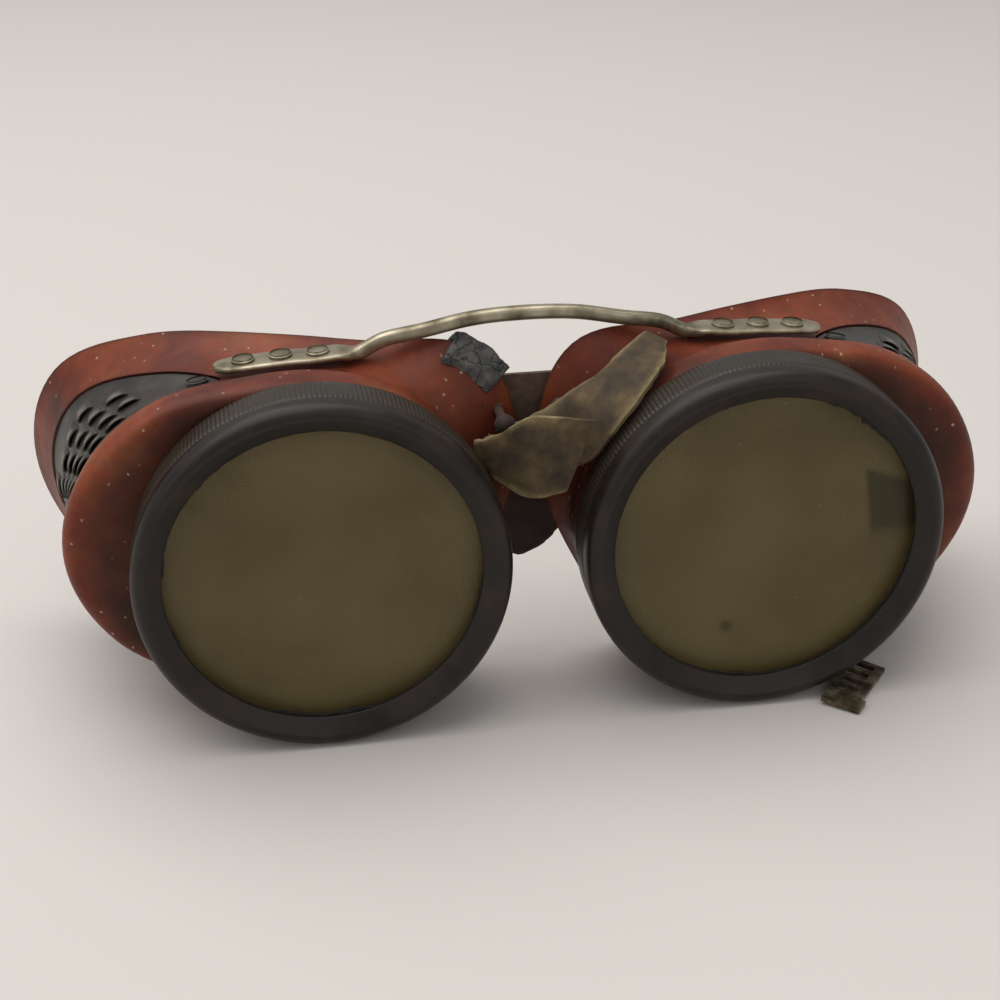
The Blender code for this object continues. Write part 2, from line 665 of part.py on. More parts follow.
def bridge_wire(root):
    """Round wire over the nose, beaten flat at both ends and drilled for three rivets each."""
    half = wire_sections()
    rows = half + [(-x, z, wide, thick) for x, z, wide, thick in reversed(half[:-1])]
    rings = []
    for k, (x, z, wide, thick) in enumerate(rows):
        before, after = rows[max(k - 1, 0)], rows[min(k + 1, len(rows) - 1)]
        slope = math.atan2(after[1] - before[1], after[0] - before[0])
        ring = []
        for a in angles(WIRE_SIDES):
            across = wide * math.copysign(abs(math.cos(a)) ** 0.7, math.cos(a))
            up = thick * math.copysign(abs(math.sin(a)) ** 0.7, math.sin(a))
            ring.append((x - up * math.sin(slope), BRIDGE_DEPTH + across, z + up * math.cos(slope)))
        rings.append(ring)
    bm = bmesh.new()
    tube(bm, rings)
    wire = add_object("bridge_wire", bm, "nickel", root)
    holes = bmesh.new()
    for side in (-1, 1):
        for u in BRIDGE_RIVETS:
            middle = Vector((side * (u + EYE_HALF), BRIDGE_DEPTH, plate_height(u)))
            reach = Vector((0, 0, 3 * MM))
            add_cylinder(holes, middle - reach, middle + reach, RIVET_SHANK + HOLE_ROOM)
    boolean(wire, add_object("bridge_hole_cutter", holes, "nickel", root))


# ---- leather and rubber ----

def sheet_solid(rows, thick):
    """A leather sheet of even thickness over rows of points across its width."""
    points = np.array(rows)
    along = np.gradient(points, axis=0)
    across = np.gradient(points, axis=1)
    normal = np.cross(along, across)
    normal /= np.linalg.norm(normal, axis=2, keepdims=True)
    bm = bmesh.new()
    slab(bm, (points + normal * thick / 2).tolist(), (points - normal * thick / 2).tolist())
    return bm


def strap_depth(share):
    """Depth of the strap's middle, from its top end (0) to its lower end (1)."""
    flat = rim_depth(math.radians(150)) + LIP_ROUND + STRAP_THICK
    return flat + 8.8 * MM * (share - 0.35) ** 2


def nose_strap(root):
    """Leather strip behind the nasal rims, which closes the gap over the nose."""
    rows = []
    for k in range(9):
        share = k / 8
        z = (STRAP_TOP - STRAP_LENGTH * share) * NOSE_SCALE.z
        half = (5.5 + 2.2 * math.sin(math.pi * share)) * MM * NOSE_SCALE.x
        rounding = 1.2 * MM if share > 0.8 else 0
        rows.append([(half * i / 3, strap_depth(share), z - rounding * math.cos(math.pi / 6 * i))
                     for i in range(-3, 4)])
    strap = add_object("nose_strap", sheet_solid(rows, STRAP_THICK), "dark_leather", root)
    holes = bmesh.new()
    for side in (-1, 1):
        front, back = strap_fastener_ends(side)
        add_cylinder(holes, front, back, RIVET_SHANK + HOLE_ROOM)
    boolean(strap, add_object("strap_hole_cutter", holes, "dark_leather", root))


def strap_fastener_ends(side):
    """Front of a strap fastener, on the cup's flare, and its back, behind the strap."""
    _, spot, _ = strap_spot()
    front = Vector((side * (spot.x + EYE_HALF), spot.y, spot.z))
    share = (STRAP_TOP - STRAP_FASTENER[1]) / STRAP_LENGTH
    back = front.copy()
    back.y = strap_depth(share) + STRAP_THICK
    return front, back


def strap_fasteners(root):
    """Ball-headed stud through the left cup and the strap, and a flat rivet on the right."""
    front, back = strap_fastener_ends(-1)
    reach = back.y - front.y
    stud_front = front.y - STUD_DEPTH
    neck = math.sqrt(STUD_RADIUS ** 2 - RIVET_SHANK ** 2)
    ball = [(STUD_RADIUS * math.sin(a), stud_front + STUD_RADIUS * math.cos(a))
            for a in (math.radians(20), math.radians(50), math.radians(80), math.radians(110),
                      math.radians(135))]
    levels = ball + [(RIVET_SHANK, stud_front - neck), (RIVET_SHANK, -reach),
                     (RIVET_HEAD, -reach), (RIVET_HEAD * 0.9, -reach - RIVET_HEAD_THICK)]
    forward = Vector((0, -1, 0))
    add_object("strap_stud", lathed(front, forward, levels), "blackened_metal", root)
    front, back = strap_fastener_ends(1)
    rivet("strap_rivet", front, forward, RIVET_HEAD * 0.6 + GAP, reach, root, "blackened_metal")


def nose_leather(root):
    """Worn leather wrap, hanging from the wire's right bend and folded back in front."""
    # middle of the strip, and from there to its upper or left edge
    middle = [(19.9, 19.5, 27.0), (17.0, 15.0, 25.9), (13.6, 12.0, 23.8), (8.8, 10.4, 20.2),
              (4.8, 11.2, 15.8), (-0.4, 13.4, 13.2), (-5.2, 14.4, 12.6), (-8.7, 12.4, 13.6),
              (-6.0, 9.4, 13.6), (-1.6, 7.4, 14.0), (5.6, 6.2, 14.4)]
    across = [(-1.6, 0.8, 0.6), (-2.6, 2.0, 0.6), (-3.0, 3.2, 0.0), (-3.0, 4.6, 0.5),
              (-2.2, 4.0, 3.0), (-0.8, 0.8, 4.4), (-0.4, 0.3, 2.4), (-0.3, 0.0, 1.7),
              (0.1, 0.0, 3.8), (-0.1, -0.2, 6.6), (2.0, 0.0, 5.5)]
    centre = through([Vector(p) * MM * NOSE_SCALE for p in middle], 21)
    reach = through([Vector(p) * MM * NOSE_SCALE for p in across], 21)
    rows = []
    for point, half in zip(centre, reach):
        rows.append([tuple(point + half * (i / 2 - 1)) for i in range(5)])
    add_object("nose_leather", sheet_solid(rows, LEATHER_THICK), "leather", root)


def rim_rubber(axis, side):
    """What is left of the rubber edging, over the rim of a cup's upper nose corner."""
    low, high = RUBBER_ARC
    steps = [low + (high - low) * j / 8 for j in range(9)]

    def layer(lift):
        over = Vector((0, LIP_ROUND + lift, 0))
        grid = []
        for phi in steps:
            row = [cup_point(phi, share, -lift) for share in (0.68, 0.79, 0.9, 1.0)]
            row += [cup_point(phi, 1.0, -0.6 * lift) + 0.6 * over, cup_point(phi, 1.0, CUP_WALL / 2) + over]
            grid.append([flipped(p, side) for p in row])
        return grid
    bm = bmesh.new()
    slab(bm, layer(GAP), layer(GAP + RUBBER_THICK))
    add_object(side_name(side) + "_rim_rubber", bm, "rubber", axis)


# ---- headband hardware ----

def anchor_spot():
    """Where the band anchor's shank goes through the bottom of the cup."""
    return "band_anchor", wall_spot(ANCHOR_U, ANCHOR_DEPTH, -1), Vector((0, 0, -1))


def anchor_eye(side):
    """Centre of the anchor's eye in eye axes: in front of its shank, or swung behind it."""
    return Vector((side * ANCHOR_U, ANCHOR_DEPTH - side * ANCHOR_REACH, BASE + HARDWARE_HEIGHT))


def band_anchor(side, axis):
    """Post through the cup with a washer, and an eye that lies level below it."""
    _, spot, _ = anchor_spot()
    eye = anchor_eye(side)
    washer = 1.1 * MM
    levels = [(RIVET_HEAD, -CUP_WALL - 1.5 * MM), (RIVET_HEAD, -CUP_WALL - 1.0 * MM),
              (RIVET_SHANK, -CUP_WALL - 1.0 * MM), (RIVET_SHANK, washer), (ANCHOR_WASHER, washer),
              (ANCHOR_WASHER, washer + 0.6 * MM), (RIVET_SHANK, washer + 0.6 * MM),
              (RIVET_SHANK, spot.z - eye.z)]
    name = side_name(side)
    post = add_object(name + "_band_anchor", lathed(flipped(spot, side), Vector((0, 0, -1)), levels),
                      "steel", axis)
    bm = bmesh.new()
    place = Matrix.Translation(eye) @ Matrix.Diagonal((1, side, 1, 1))
    half = 2 * EYE_HOLE
    cell_plate(bm, [-half, half], [-half, ANCHOR_REACH + 1.5 * MM], EYE_PLATE, place, lambda i, j: True)
    arm = add_object(name + "_anchor_arm_guide", bm, "steel", axis)
    boolean(post, arm, "UNION")
    bm = bmesh.new()
    reach = Vector((0, 0, 2 * MM))
    add_cylinder(bm, eye - reach, eye + reach, EYE_HOLE)
    boolean(post, add_object(name + "_anchor_eye_cutter", bm, "steel", axis))


def band_link(side, axis):
    """Upright oblong wire link out of the anchor's eye; gives the pivot at its far end."""
    pivot = add_empty(side_name(side) + "_link_pivot", anchor_eye(side), axis)
    heading = LINK_HEADING[side]
    forward = Vector((math.cos(heading), math.sin(heading), 0))
    up = Vector((0, 0, 1))
    outline = []
    steps = 6
    for start, middle in ((math.pi / 2, LINK_EYE), (-math.pi / 2, LINK_LENGTH - LINK_EYE)):
        for k in range(steps + 1):
            a = start + math.pi * k / steps
            outline.append(forward * (middle + LINK_EYE * math.cos(a)) + up * LINK_EYE * math.sin(a))
    side_way = forward.cross(up)
    rings = []
    for k, point in enumerate(outline):
        ahead = outline[(k + 1) % len(outline)] - outline[k - 1]
        outward = side_way.cross(ahead.normalized())
        rings.append([point + LINK_WIRE * (math.cos(a) * outward + math.sin(a) * side_way)
                      for a in angles(8)])
    bm = bmesh.new()
    tube(bm, rings, closed=True)
    add_object(side_name(side) + "_band_link", bm, "steel", pivot)
    return add_empty(side_name(side) + "_slide_pivot", forward * LINK_LENGTH, pivot)


def band_slide(side, pivot):
    """Slotted plate that the headband threads through, with an eye for the link."""
    name = side_name(side)
    pitch = SLIDE_SLOT + SLIDE_BAR
    place = (Matrix.Rotation(SLIDE_HEADING[side], 4, "Z") @ Matrix.Rotation(SLIDE_DROOP, 4, "Y")
             @ Matrix.Diagonal((1, -1, 1, 1)))
    # x runs from the eye to the outer edge, y across the slots; the eye is at the origin
    eye = 2 * EYE_HOLE
    ys = [-eye]
    for k in range(SLIDE_SLOTS):
        ys += [-eye + SLIDE_BAR + k * pitch, -eye + (k + 1) * pitch]
    ys += [ys[-1] + SLIDE_BAR, ys[-1] + SLIDE_BAR + SLIDE_TAB]
    outer = SLIDE_EYE + SLIDE_LENGTH
    xs = [-eye, eye, SLIDE_EYE + SLIDE_BAR, outer - SLIDE_SHORT, outer - SLIDE_SHORT + SLIDE_BAR,
          outer - 1.4 * MM, outer, outer + 0.8 * MM]
    tab_row = len(ys) - 2

    def solid(i, j):
        slot = j % 2 == 1
        if j == tab_row:
            return 3 <= i <= 6
        if i == 0:
            return j < 2
        if j > SLIDE_SLOTS:
            return i in (3, 5) or (i == 4 and not slot)
        return i in (1, 5) or (i in (2, 3, 4) and not slot)
    bm = bmesh.new()
    cell_plate(bm, xs, ys, SLIDE_THICK, place, solid)
    plate = add_object(name + "_band_slide", bm, "steel", pivot)
    bm = bmesh.new()
    reach = Vector((0, 0, 2 * MM))
    add_cylinder(bm, place @ -reach, place @ reach, EYE_HOLE)
    boolean(plate, add_object(name + "_slide_eye_cutter", bm, "steel", pivot))


def stand_on_origin(root):
    """Put the origin under the middle of the model's box, at the height it stands on."""
    bpy.context.view_layer.update()
    graph = bpy.context.evaluated_depsgraph_get()
    low, high = np.full(3, np.inf), np.full(3, -np.inf)
    for piece in bpy.data.objects:
        if piece.type == "MESH" and not piece.hide_render:
            shaped = piece.evaluated_get(graph)
            spots = np.array([piece.matrix_world @ v.co for v in shaped.data.vertices])
            low, high = np.minimum(low, spots.min(axis=0)), np.maximum(high, spots.max(axis=0))
    root.location = (-(low[0] + high[0]) / 2, -(low[1] + high[1]) / 2, -low[2])


def main():
    for leftover in list(bpy.data.objects):
        bpy.data.objects.remove(leftover, do_unlink=True)
    root = add_empty("goggles", (0, 0, 0))
    for side in (-1, 1):
        axis = build_eye(side, root)
        band_anchor(side, axis)
        band_slide(side, band_link(side, axis))
        if side < 0:
            rim_rubber(axis, side)
    bridge_wire(root)
    nose_strap(root)
    strap_fasteners(root)
    nose_leather(root)
    stand_on_origin(root)


main()
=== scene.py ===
# %% [markdown]
# # Old cup goggles, dressed around their working frame
# The goggles have two moulded cups, two screw-on lens rings, a riveted wire bridge and a scrap of
# leather over the nose. The frame that is loaded first is the mechanical model: it gives every
# size and place. Each step below explains one piece or one finish, and then makes it.

# %% Load the frame
import math

import bmesh
import bpy
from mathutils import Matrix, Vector, noise


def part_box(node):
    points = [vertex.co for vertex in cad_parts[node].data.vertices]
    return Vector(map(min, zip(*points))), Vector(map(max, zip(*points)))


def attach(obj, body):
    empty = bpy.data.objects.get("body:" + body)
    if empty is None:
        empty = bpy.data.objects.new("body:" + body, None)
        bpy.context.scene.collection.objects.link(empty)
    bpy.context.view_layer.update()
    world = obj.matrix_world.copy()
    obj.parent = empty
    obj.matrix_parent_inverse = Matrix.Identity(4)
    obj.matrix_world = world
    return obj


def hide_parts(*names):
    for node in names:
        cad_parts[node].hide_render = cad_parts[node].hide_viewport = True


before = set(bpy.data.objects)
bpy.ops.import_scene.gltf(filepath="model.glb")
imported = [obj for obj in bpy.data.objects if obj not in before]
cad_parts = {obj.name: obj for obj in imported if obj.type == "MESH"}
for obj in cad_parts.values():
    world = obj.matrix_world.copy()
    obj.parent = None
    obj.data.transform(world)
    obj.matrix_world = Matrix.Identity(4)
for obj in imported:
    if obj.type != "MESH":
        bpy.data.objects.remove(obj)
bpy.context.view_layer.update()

# %% [markdown]
# Each cup is built round its own lens axis, so the sizes below are in millimetres from that axis:
# u points away from the nose, y runs back from the ring's opening, z is up. The lens rings in the
# frame say where the two axes are. `at` turns such a place into metres in the frame.

# %% Find the two lens axes
MM = 0.001
SIDES = {"left": -1, "right": 1}
ring_low, ring_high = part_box("right_lens_ring")
RING_RADIUS = (ring_high.x - ring_low.x) / 2 / MM
EYE_HALF = (ring_high.x + ring_low.x) / 2 / MM
AXIS_HEIGHT = (ring_high.z + ring_low.z) / 2
RING_FRONT = -0.6                     # the rounded front stands this far ahead of the opening
OPENING_DEPTH = ring_low.y - RING_FRONT * MM
RING_BACK = (ring_high.y - OPENING_DEPTH) / MM
NECK_FRONT = (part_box("right_eye_cup")[0].y - OPENING_DEPTH) / MM
FULL_TURN = 2 * math.pi


def at(side, u, y, z):
    """A place beside a lens axis, in millimetres, as a point of the frame."""
    return Vector((side * (EYE_HALF + u) * MM, OPENING_DEPTH + y * MM, AXIS_HEIGHT + z * MM))


def middle(x, y, z):
    """A place beside the mid plane between the eyes, in millimetres, as a point of the frame."""
    return Vector((x * MM, OPENING_DEPTH + y * MM, AXIS_HEIGHT + z * MM))


print("lens axes", round(2 * EYE_HALF, 2), "mm apart, rings", round(2 * RING_RADIUS, 2), "mm wide")

# %% [markdown]
# The camera comes early, because it decides what has to be seen. It looks down at the goggles by
# about 28 degrees and from a little left of the middle. A 65 mm lens keeps the two rings nearly
# round, as a camera does from about 30 cm away.

# %% Camera
eye = middle(-45.4, -231.6, 124.4)
bpy.ops.object.camera_add(location=eye)
camera = bpy.context.object
camera.name = "studio_camera"
camera.data.lens = 64.8
camera.data.sensor_width = 36
camera.data.clip_start = 0.01
right = Vector((0.98622, -0.1652, -0.00859)).normalized()
ahead = Vector((0.1451, 0.88885, -0.43462)).normalized()
up = right.cross(ahead)
turn = camera.matrix_world.to_3x3()
for row in range(3):
    turn[row] = (right[row], up[row], -ahead[row])
camera.rotation_euler = turn.to_euler()
bpy.context.scene.camera = camera
print("camera", round((eye - middle(0, 12, 0)).length, 3), "m from the goggles")

# %% [markdown]
# ## Helpers for shaping
# Most pieces here are one of two things. A *loft* starts as a circle and is extruded row by row,
# and each new row is put on the next cross-section. A *plate* starts as a flat grid whose points
# are laid on a surface, and is then extruded once to give it thickness. Extruding first and moving
# afterwards is what a modeller does by hand with E and G; here the places come from a formula.

# %% Shaping helpers
def deselect():
    if bpy.context.mode != "OBJECT":
        bpy.ops.object.mode_set(mode="OBJECT")
    bpy.ops.object.select_all(action="DESELECT")


def extrude_to(mesh, row, spots):
    """Extrude the selected row and put each new vertex on its spot, in the row's own order."""
    order = {tuple(vert.co): index for index, vert in enumerate(row)}
    bpy.ops.mesh.extrude_region_move()
    bm = bmesh.from_edit_mesh(mesh)
    fresh = [None] * len(row)
    for vert in bm.verts:
        if vert.select:
            fresh[order[tuple(vert.co)]] = vert
    for vert, spot in zip(fresh, spots):
        vert.co = spot
    bmesh.update_edit_mesh(mesh)
    return fresh


def finish_mesh(piece, name, smooth_angle=40):
    """Merge doubled points, face outwards, shade round areas smooth and name the piece."""
    bpy.ops.mesh.select_all(action="SELECT")
    bpy.ops.mesh.remove_doubles(threshold=0.001 * MM)
    bpy.ops.mesh.normals_make_consistent(inside=False)
    bpy.ops.object.mode_set(mode="OBJECT")
    bpy.ops.object.shade_smooth_by_angle(angle=math.radians(smooth_angle))
    piece.name = piece.data.name = name
    return piece


def loft(name, rows, capped=False, smooth_angle=40):
    """A circle extruded through rows of points; capped closes both ends."""
    deselect()
    bpy.ops.mesh.primitive_circle_add(vertices=len(rows[0]), radius=1)
    piece = bpy.context.object
    bpy.ops.object.mode_set(mode="EDIT")
    bm = bmesh.from_edit_mesh(piece.data)
    row = sorted(bm.verts, key=lambda vert: vert.index)
    for vert, spot in zip(row, rows[0]):
        vert.co = spot
    if capped:
        bpy.ops.mesh.edge_face_add()
    for spots in rows[1:]:
        row = extrude_to(piece.data, row, spots)
    return finish_mesh(piece, name, smooth_angle)


def plate(name, outer, inner, smooth_angle=40):
    """A grid laid on the outer spots and extruded to the inner ones."""
    deselect()
    columns, rows = len(outer), len(outer[0])
    bpy.ops.mesh.primitive_grid_add(x_subdivisions=rows - 1, y_subdivisions=columns - 1, size=1)
    piece = bpy.context.object
    bpy.ops.object.mode_set(mode="EDIT")
    bm = bmesh.from_edit_mesh(piece.data)
    row = sorted(bm.verts, key=lambda vert: (round(vert.co.y, 5), round(vert.co.x, 5)))
    for vert, spot in zip(row, [spot for column in outer for spot in column]):
        vert.co = spot
    bpy.ops.mesh.select_all(action="SELECT")
    extrude_to(piece.data, row, [spot for column in inner for spot in column])
    return finish_mesh(piece, name, smooth_angle)


def through(points, count):
    """Points on a smooth open curve through the given ones (Catmull-Rom)."""
    points = [Vector(point) for point in points]
    ends = [2 * points[0] - points[1]] + points + [2 * points[-1] - points[-2]]
    made = []
    for step in range(count):
        place = step / (count - 1) * (len(points) - 1)
        i = min(int(place), len(points) - 2)
        t = place - i
        p0, p1, p2, p3 = ends[i:i + 4]
        made.append(0.5 * (2 * p1 + (p2 - p0) * t + (2 * p0 - 5 * p1 + 4 * p2 - p3) * t ** 2
                           + (3 * p1 - p0 - 3 * p2 + p3) * t ** 3))
    return made


def subtract(piece, *cutters):
    """Cut with other closed pieces, which are then deleted."""
    for cutter in cutters:
        deselect()
        bpy.context.view_layer.objects.active = piece
        piece.select_set(True)
        step = piece.modifiers.new("cut", "BOOLEAN")
        step.object = cutter
        step.solver = "EXACT"
        bpy.ops.object.modifier_apply(modifier=step.name)
        bpy.data.objects.remove(cutter)


def paint(piece, name, amount):
    """Store a number from 0 to 1 on each vertex, for a material to read."""
    layer = piece.data.attributes.new(name, "FLOAT", "POINT")
    layer.data.foreach_set("value", [min(max(amount(vert.co), 0), 1) for vert in piece.data.vertices])


def hand_over(piece, finish, body, slot, *nodes):
    """Give a finished piece its material, its body and the frame nodes it stands for."""
    piece.data.materials.clear()
    piece.data.materials.append(finish)
    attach(piece, body)
    if nodes:
        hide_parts(*nodes)


print("helpers ready: loft and plate make meshes, subtract cuts them, paint marks them")

# %% [markdown]
# ## Helpers for materials
# Colours are written as the hex values that a paint program shows. Those are sRGB, and Blender
# mixes light in linear values, so one function turns them. Patterns read Object coordinates, which
# are metres here, so a pattern of a known size in millimetres needs one over that size as its scale.

# %% Material helpers
def linear(code):
    """An sRGB hex colour as linear values, with full alpha."""
    values = [int(code[i:i + 2], 16) / 255 for i in (1, 3, 5)]
    return tuple(v / 12.92 if v <= 0.04045 else ((v + 0.055) / 1.055) ** 2.4 for v in values) + (1.0,)


def per(size_mm):
    """Texture scale of a pattern whose features are this many millimetres across."""
    return 1 / (size_mm * MM)


def add(tree, kind, settings=None, inputs=None):
    """Add a node; a socket given as an input is linked, anything else is a value."""
    made = tree.nodes.new(kind)
    for key, value in (settings or {}).items():
        if key == "stops":
            ramp = made.color_ramp
            while len(ramp.elements) < len(value):
                ramp.elements.new(0.5)
            for element, (place, color) in zip(ramp.elements, value):
                element.position, element.color = place, color
        else:
            setattr(made, key, value)
    for key, value in (inputs or {}).items():
        if isinstance(value, bpy.types.NodeSocket):
            tree.links.new(value, made.inputs[key])
        else:
            made.inputs[key].default_value = value
    return made


def new_finish(name, **values):
    """A material with a Principled shader and Object coordinates."""
    finish = bpy.data.materials.new(name)
    finish.use_nodes = True
    tree = finish.node_tree
    shader = tree.nodes["Principled BSDF"]
    for key, value in values.items():
        shader.inputs[key.replace("_", " ").title().replace("Ior", "IOR")].default_value = value
    coords = add(tree, "ShaderNodeTexCoord").outputs["Object"]
    return finish, tree, shader, coords


GREY = {0.0: (0, 0, 0, 1), 1.0: (1, 1, 1, 1)}


def band(low, high):
    """Ramp stops that rise from black to white between two places."""
    return {"stops": [(low, GREY[0.0]), (high, GREY[1.0])]}


print("hex #808080 is", round(linear("#808080")[0], 3), "in linear values")


# %% [markdown]
# **Vulcanised fibre.** The cups are moulded from red-brown fibre, a hard paper-and-resin stock.
# Handling has polished it to a waxy shine. Painted shade and grime darken it along the neck, round
# the vents, beside the nose, inside, under the bridge and towards the bottom, and it has pale chips
# and scuffs a few tenths of a millimetre wide.

# %% Cup finish
cup_finish, tree, shader, coords = new_finish(
    "red_brown_vulcanised_fibre", roughness=0.45, coat_weight=0.05, coat_roughness=0.25)
shader.inputs["Specular IOR Level"].default_value = 0.2
clouds = add(tree, "ShaderNodeTexNoise", None, {"Vector": coords, "Scale": per(14), "Detail": 4.0})
base = add(tree, "ShaderNodeValToRGB", {"stops": [
    (0.30, linear("#451c11")), (0.48, linear("#672c1b")), (0.62, linear("#793a22")),
    (0.78, linear("#8a4e31"))]}, {"Fac": clouds.outputs["Fac"]})
mottle = add(tree, "ShaderNodeTexNoise", None, {"Vector": coords, "Scale": per(1.6), "Detail": 5.0})
mottled = add(tree, "ShaderNodeMix", {"data_type": "RGBA", "blend_type": "OVERLAY"},
              {"Factor": 0.35, "A": base.outputs["Color"], "B": mottle.outputs["Color"]})
grime = add(tree, "ShaderNodeAttribute", {"attribute_name": "grime"})
streaks = add(tree, "ShaderNodeTexNoise", None, {"Vector": coords, "Scale": per(3), "Detail": 6.0})
patchy = add(tree, "ShaderNodeMath", {"operation": "MULTIPLY_ADD"},
             {0: streaks.outputs["Fac"], 1: 0.5, 2: -0.25})
streaky_grime_and_shade = add(tree, "ShaderNodeMath", {"operation": "ADD", "use_clamp": True},
            {0: grime.outputs["Fac"], 1: patchy.outputs["Value"]})
gate = add(tree, "ShaderNodeMath", {"operation": "MULTIPLY", "use_clamp": True},
           {0: streaky_grime_and_shade.outputs["Value"], 1: grime.outputs["Fac"]})
# Painted shade and grime: the marked places are mixed towards a dark brown.
grimed_and_shaded = add(tree, "ShaderNodeMix", {"data_type": "RGBA"},
              {"Factor": gate.outputs["Value"], "A": mottled.outputs["Result"], "B": linear("#22130d")})
ragged = add(tree, "ShaderNodeTexNoise", None, {"Vector": coords, "Scale": per(0.35), "Detail": 3.0})
jagged = add(tree, "ShaderNodeMix", {"data_type": "VECTOR"},
             {"Factor": 0.6 * MM, "A": coords, "B": ragged.outputs["Color"]})
flecks = add(tree, "ShaderNodeTexVoronoi", None, {"Vector": jagged.outputs["Result"], "Scale": per(2.1)})
small = add(tree, "ShaderNodeValToRGB", {"stops": [(0.07, GREY[1.0]), (0.13, GREY[0.0])]},
            {"Fac": flecks.outputs["Distance"]})
clusters = add(tree, "ShaderNodeTexNoise", None, {"Vector": coords, "Scale": per(9)})
where = add(tree, "ShaderNodeValToRGB", band(0.44, 0.53), {"Fac": clusters.outputs["Fac"]})
chips = add(tree, "ShaderNodeMath", {"operation": "MULTIPLY"},
            {0: small.outputs["Color"], 1: where.outputs["Color"]})
chipped = add(tree, "ShaderNodeMix", {"data_type": "RGBA"},
              {"Factor": chips.outputs["Value"], "A": grimed_and_shaded.outputs["Result"], "B": linear("#a58a74")})
tree.links.new(chipped.outputs["Result"], shader.inputs["Base Color"])
shine = add(tree, "ShaderNodeMapRange", None,
            {"Value": streaks.outputs["Fac"], "To Min": 0.36, "To Max": 0.62})
tree.links.new(shine.outputs["Result"], shader.inputs["Roughness"])
relief = add(tree, "ShaderNodeBump", None,
             {"Strength": 0.25, "Distance": 0.1 * MM, "Height": mottle.outputs["Fac"]})
tree.links.new(relief.outputs["Normal"], shader.inputs["Normal"])
print("made", cup_finish.name)

# %% [markdown]
# ** Blackened sheet metal.** The side vents are thin pressed sheet, chemically blackened. The raised
# lip of each louvre is painted lighter, partly metal rubbed back to grey and partly a painted
# highlight where the lip catches the light, so the louvres carry a painted value for it.

# %% Vent finish
vent_finish, tree, shader, coords = new_finish("blackened_pressed_sheet", roughness=0.42, metallic=0.35)
cloud = add(tree, "ShaderNodeTexNoise", None, {"Vector": coords, "Scale": per(5), "Detail": 6.0})
dull = add(tree, "ShaderNodeValToRGB", {"stops": [
    (0.35, linear("#272523")), (0.55, linear("#393632")), (0.75, linear("#4d463b"))]},
    {"Fac": cloud.outputs["Fac"]})
worn = add(tree, "ShaderNodeAttribute", {"attribute_name": "worn"})
# Rubbed metal and painted highlight: the raised lips are mixed towards a light grey.
pale_rub_and_highlight = add(tree, "ShaderNodeMix", {"data_type": "RGBA"},
             {"Factor": worn.outputs["Fac"], "A": dull.outputs["Color"], "B": linear("#979084")})
tree.links.new(pale_rub_and_highlight.outputs["Result"], shader.inputs["Base Color"])
fine = add(tree, "ShaderNodeTexNoise", None, {"Vector": coords, "Scale": per(0.7), "Detail": 4.0})
relief = add(tree, "ShaderNodeBump", None,
             {"Strength": 0.2, "Distance": 0.05 * MM, "Height": fine.outputs["Fac"]})
tree.links.new(relief.outputs["Normal"], shader.inputs["Normal"])
print("made", vent_finish.name)

# %% [markdown]
# **Phenolic moulding.** The lens rings are black phenolic that has gone grey-brown. The knurling
# holds dust, so it looks lighter and duller than the smooth front. The painted `knurl` value says
# where the ribs are.

# %% Ring finish
ring_finish, tree, shader, coords = new_finish("aged_phenolic_moulding", roughness=0.38)
shader.inputs["Specular IOR Level"].default_value = 0.32
cloud = add(tree, "ShaderNodeTexNoise", None, {"Vector": coords, "Scale": per(7), "Detail": 6.0})
dark = add(tree, "ShaderNodeValToRGB", {"stops": [
    (0.32, linear("#15100d")), (0.52, linear("#1d1713")), (0.72, linear("#2d231a"))]},
    {"Fac": cloud.outputs["Fac"]})
knurl = add(tree, "ShaderNodeAttribute", {"attribute_name": "knurl"})
dusty = add(tree, "ShaderNodeMix", {"data_type": "RGBA"},
            {"Factor": knurl.outputs["Fac"], "A": dark.outputs["Color"], "B": linear("#2b241c")})
tree.links.new(dusty.outputs["Result"], shader.inputs["Base Color"])
gloss = add(tree, "ShaderNodeMapRange", None,
            {"Value": cloud.outputs["Fac"], "From Min": 0.3, "From Max": 0.7, "To Min": 0.3, "To Max": 0.5})
tree.links.new(gloss.outputs["Result"], shader.inputs["Roughness"])
fine = add(tree, "ShaderNodeTexNoise", None, {"Vector": coords, "Scale": per(0.5), "Detail": 4.0})
relief = add(tree, "ShaderNodeBump", None,
             {"Strength": 0.18, "Distance": 0.05 * MM, "Height": fine.outputs["Fac"]})
tree.links.new(relief.outputs["Normal"], shader.inputs["Normal"])
print("made", ring_finish.name)

# %% [markdown]
# **Glass.** The dark filter does the work, and a thin clear glass in front takes the sparks. The
# clear one is drawn as a faint see-through film with a sharp reflection. The filter is a dark
# olive with dust and a few stains that never wiped off.

# %% Glass finishes
filter_finish, tree, shader, coords = new_finish("olive_filter_glass", roughness=0.3)
shader.inputs["Specular IOR Level"].default_value = 0.2
haze = add(tree, "ShaderNodeTexNoise", None, {"Vector": coords, "Scale": per(18), "Detail": 3.0})
olive = add(tree, "ShaderNodeValToRGB", {"stops": [
    (0.35, linear("#5f5232")), (0.65, linear("#6d603e"))]}, {"Fac": haze.outputs["Fac"]})
dust = add(tree, "ShaderNodeTexVoronoi", None, {"Vector": coords, "Scale": per(4.5)})
dots = add(tree, "ShaderNodeValToRGB", {"stops": [(0.025, GREY[1.0]), (0.05, GREY[0.0])]},
           {"Fac": dust.outputs["Distance"]})
dusted = add(tree, "ShaderNodeMix", {"data_type": "RGBA"},
             {"Factor": dots.outputs["Color"], "A": olive.outputs["Color"], "B": linear("#7d7460")})
stain = add(tree, "ShaderNodeAttribute", {"attribute_name": "stain"})
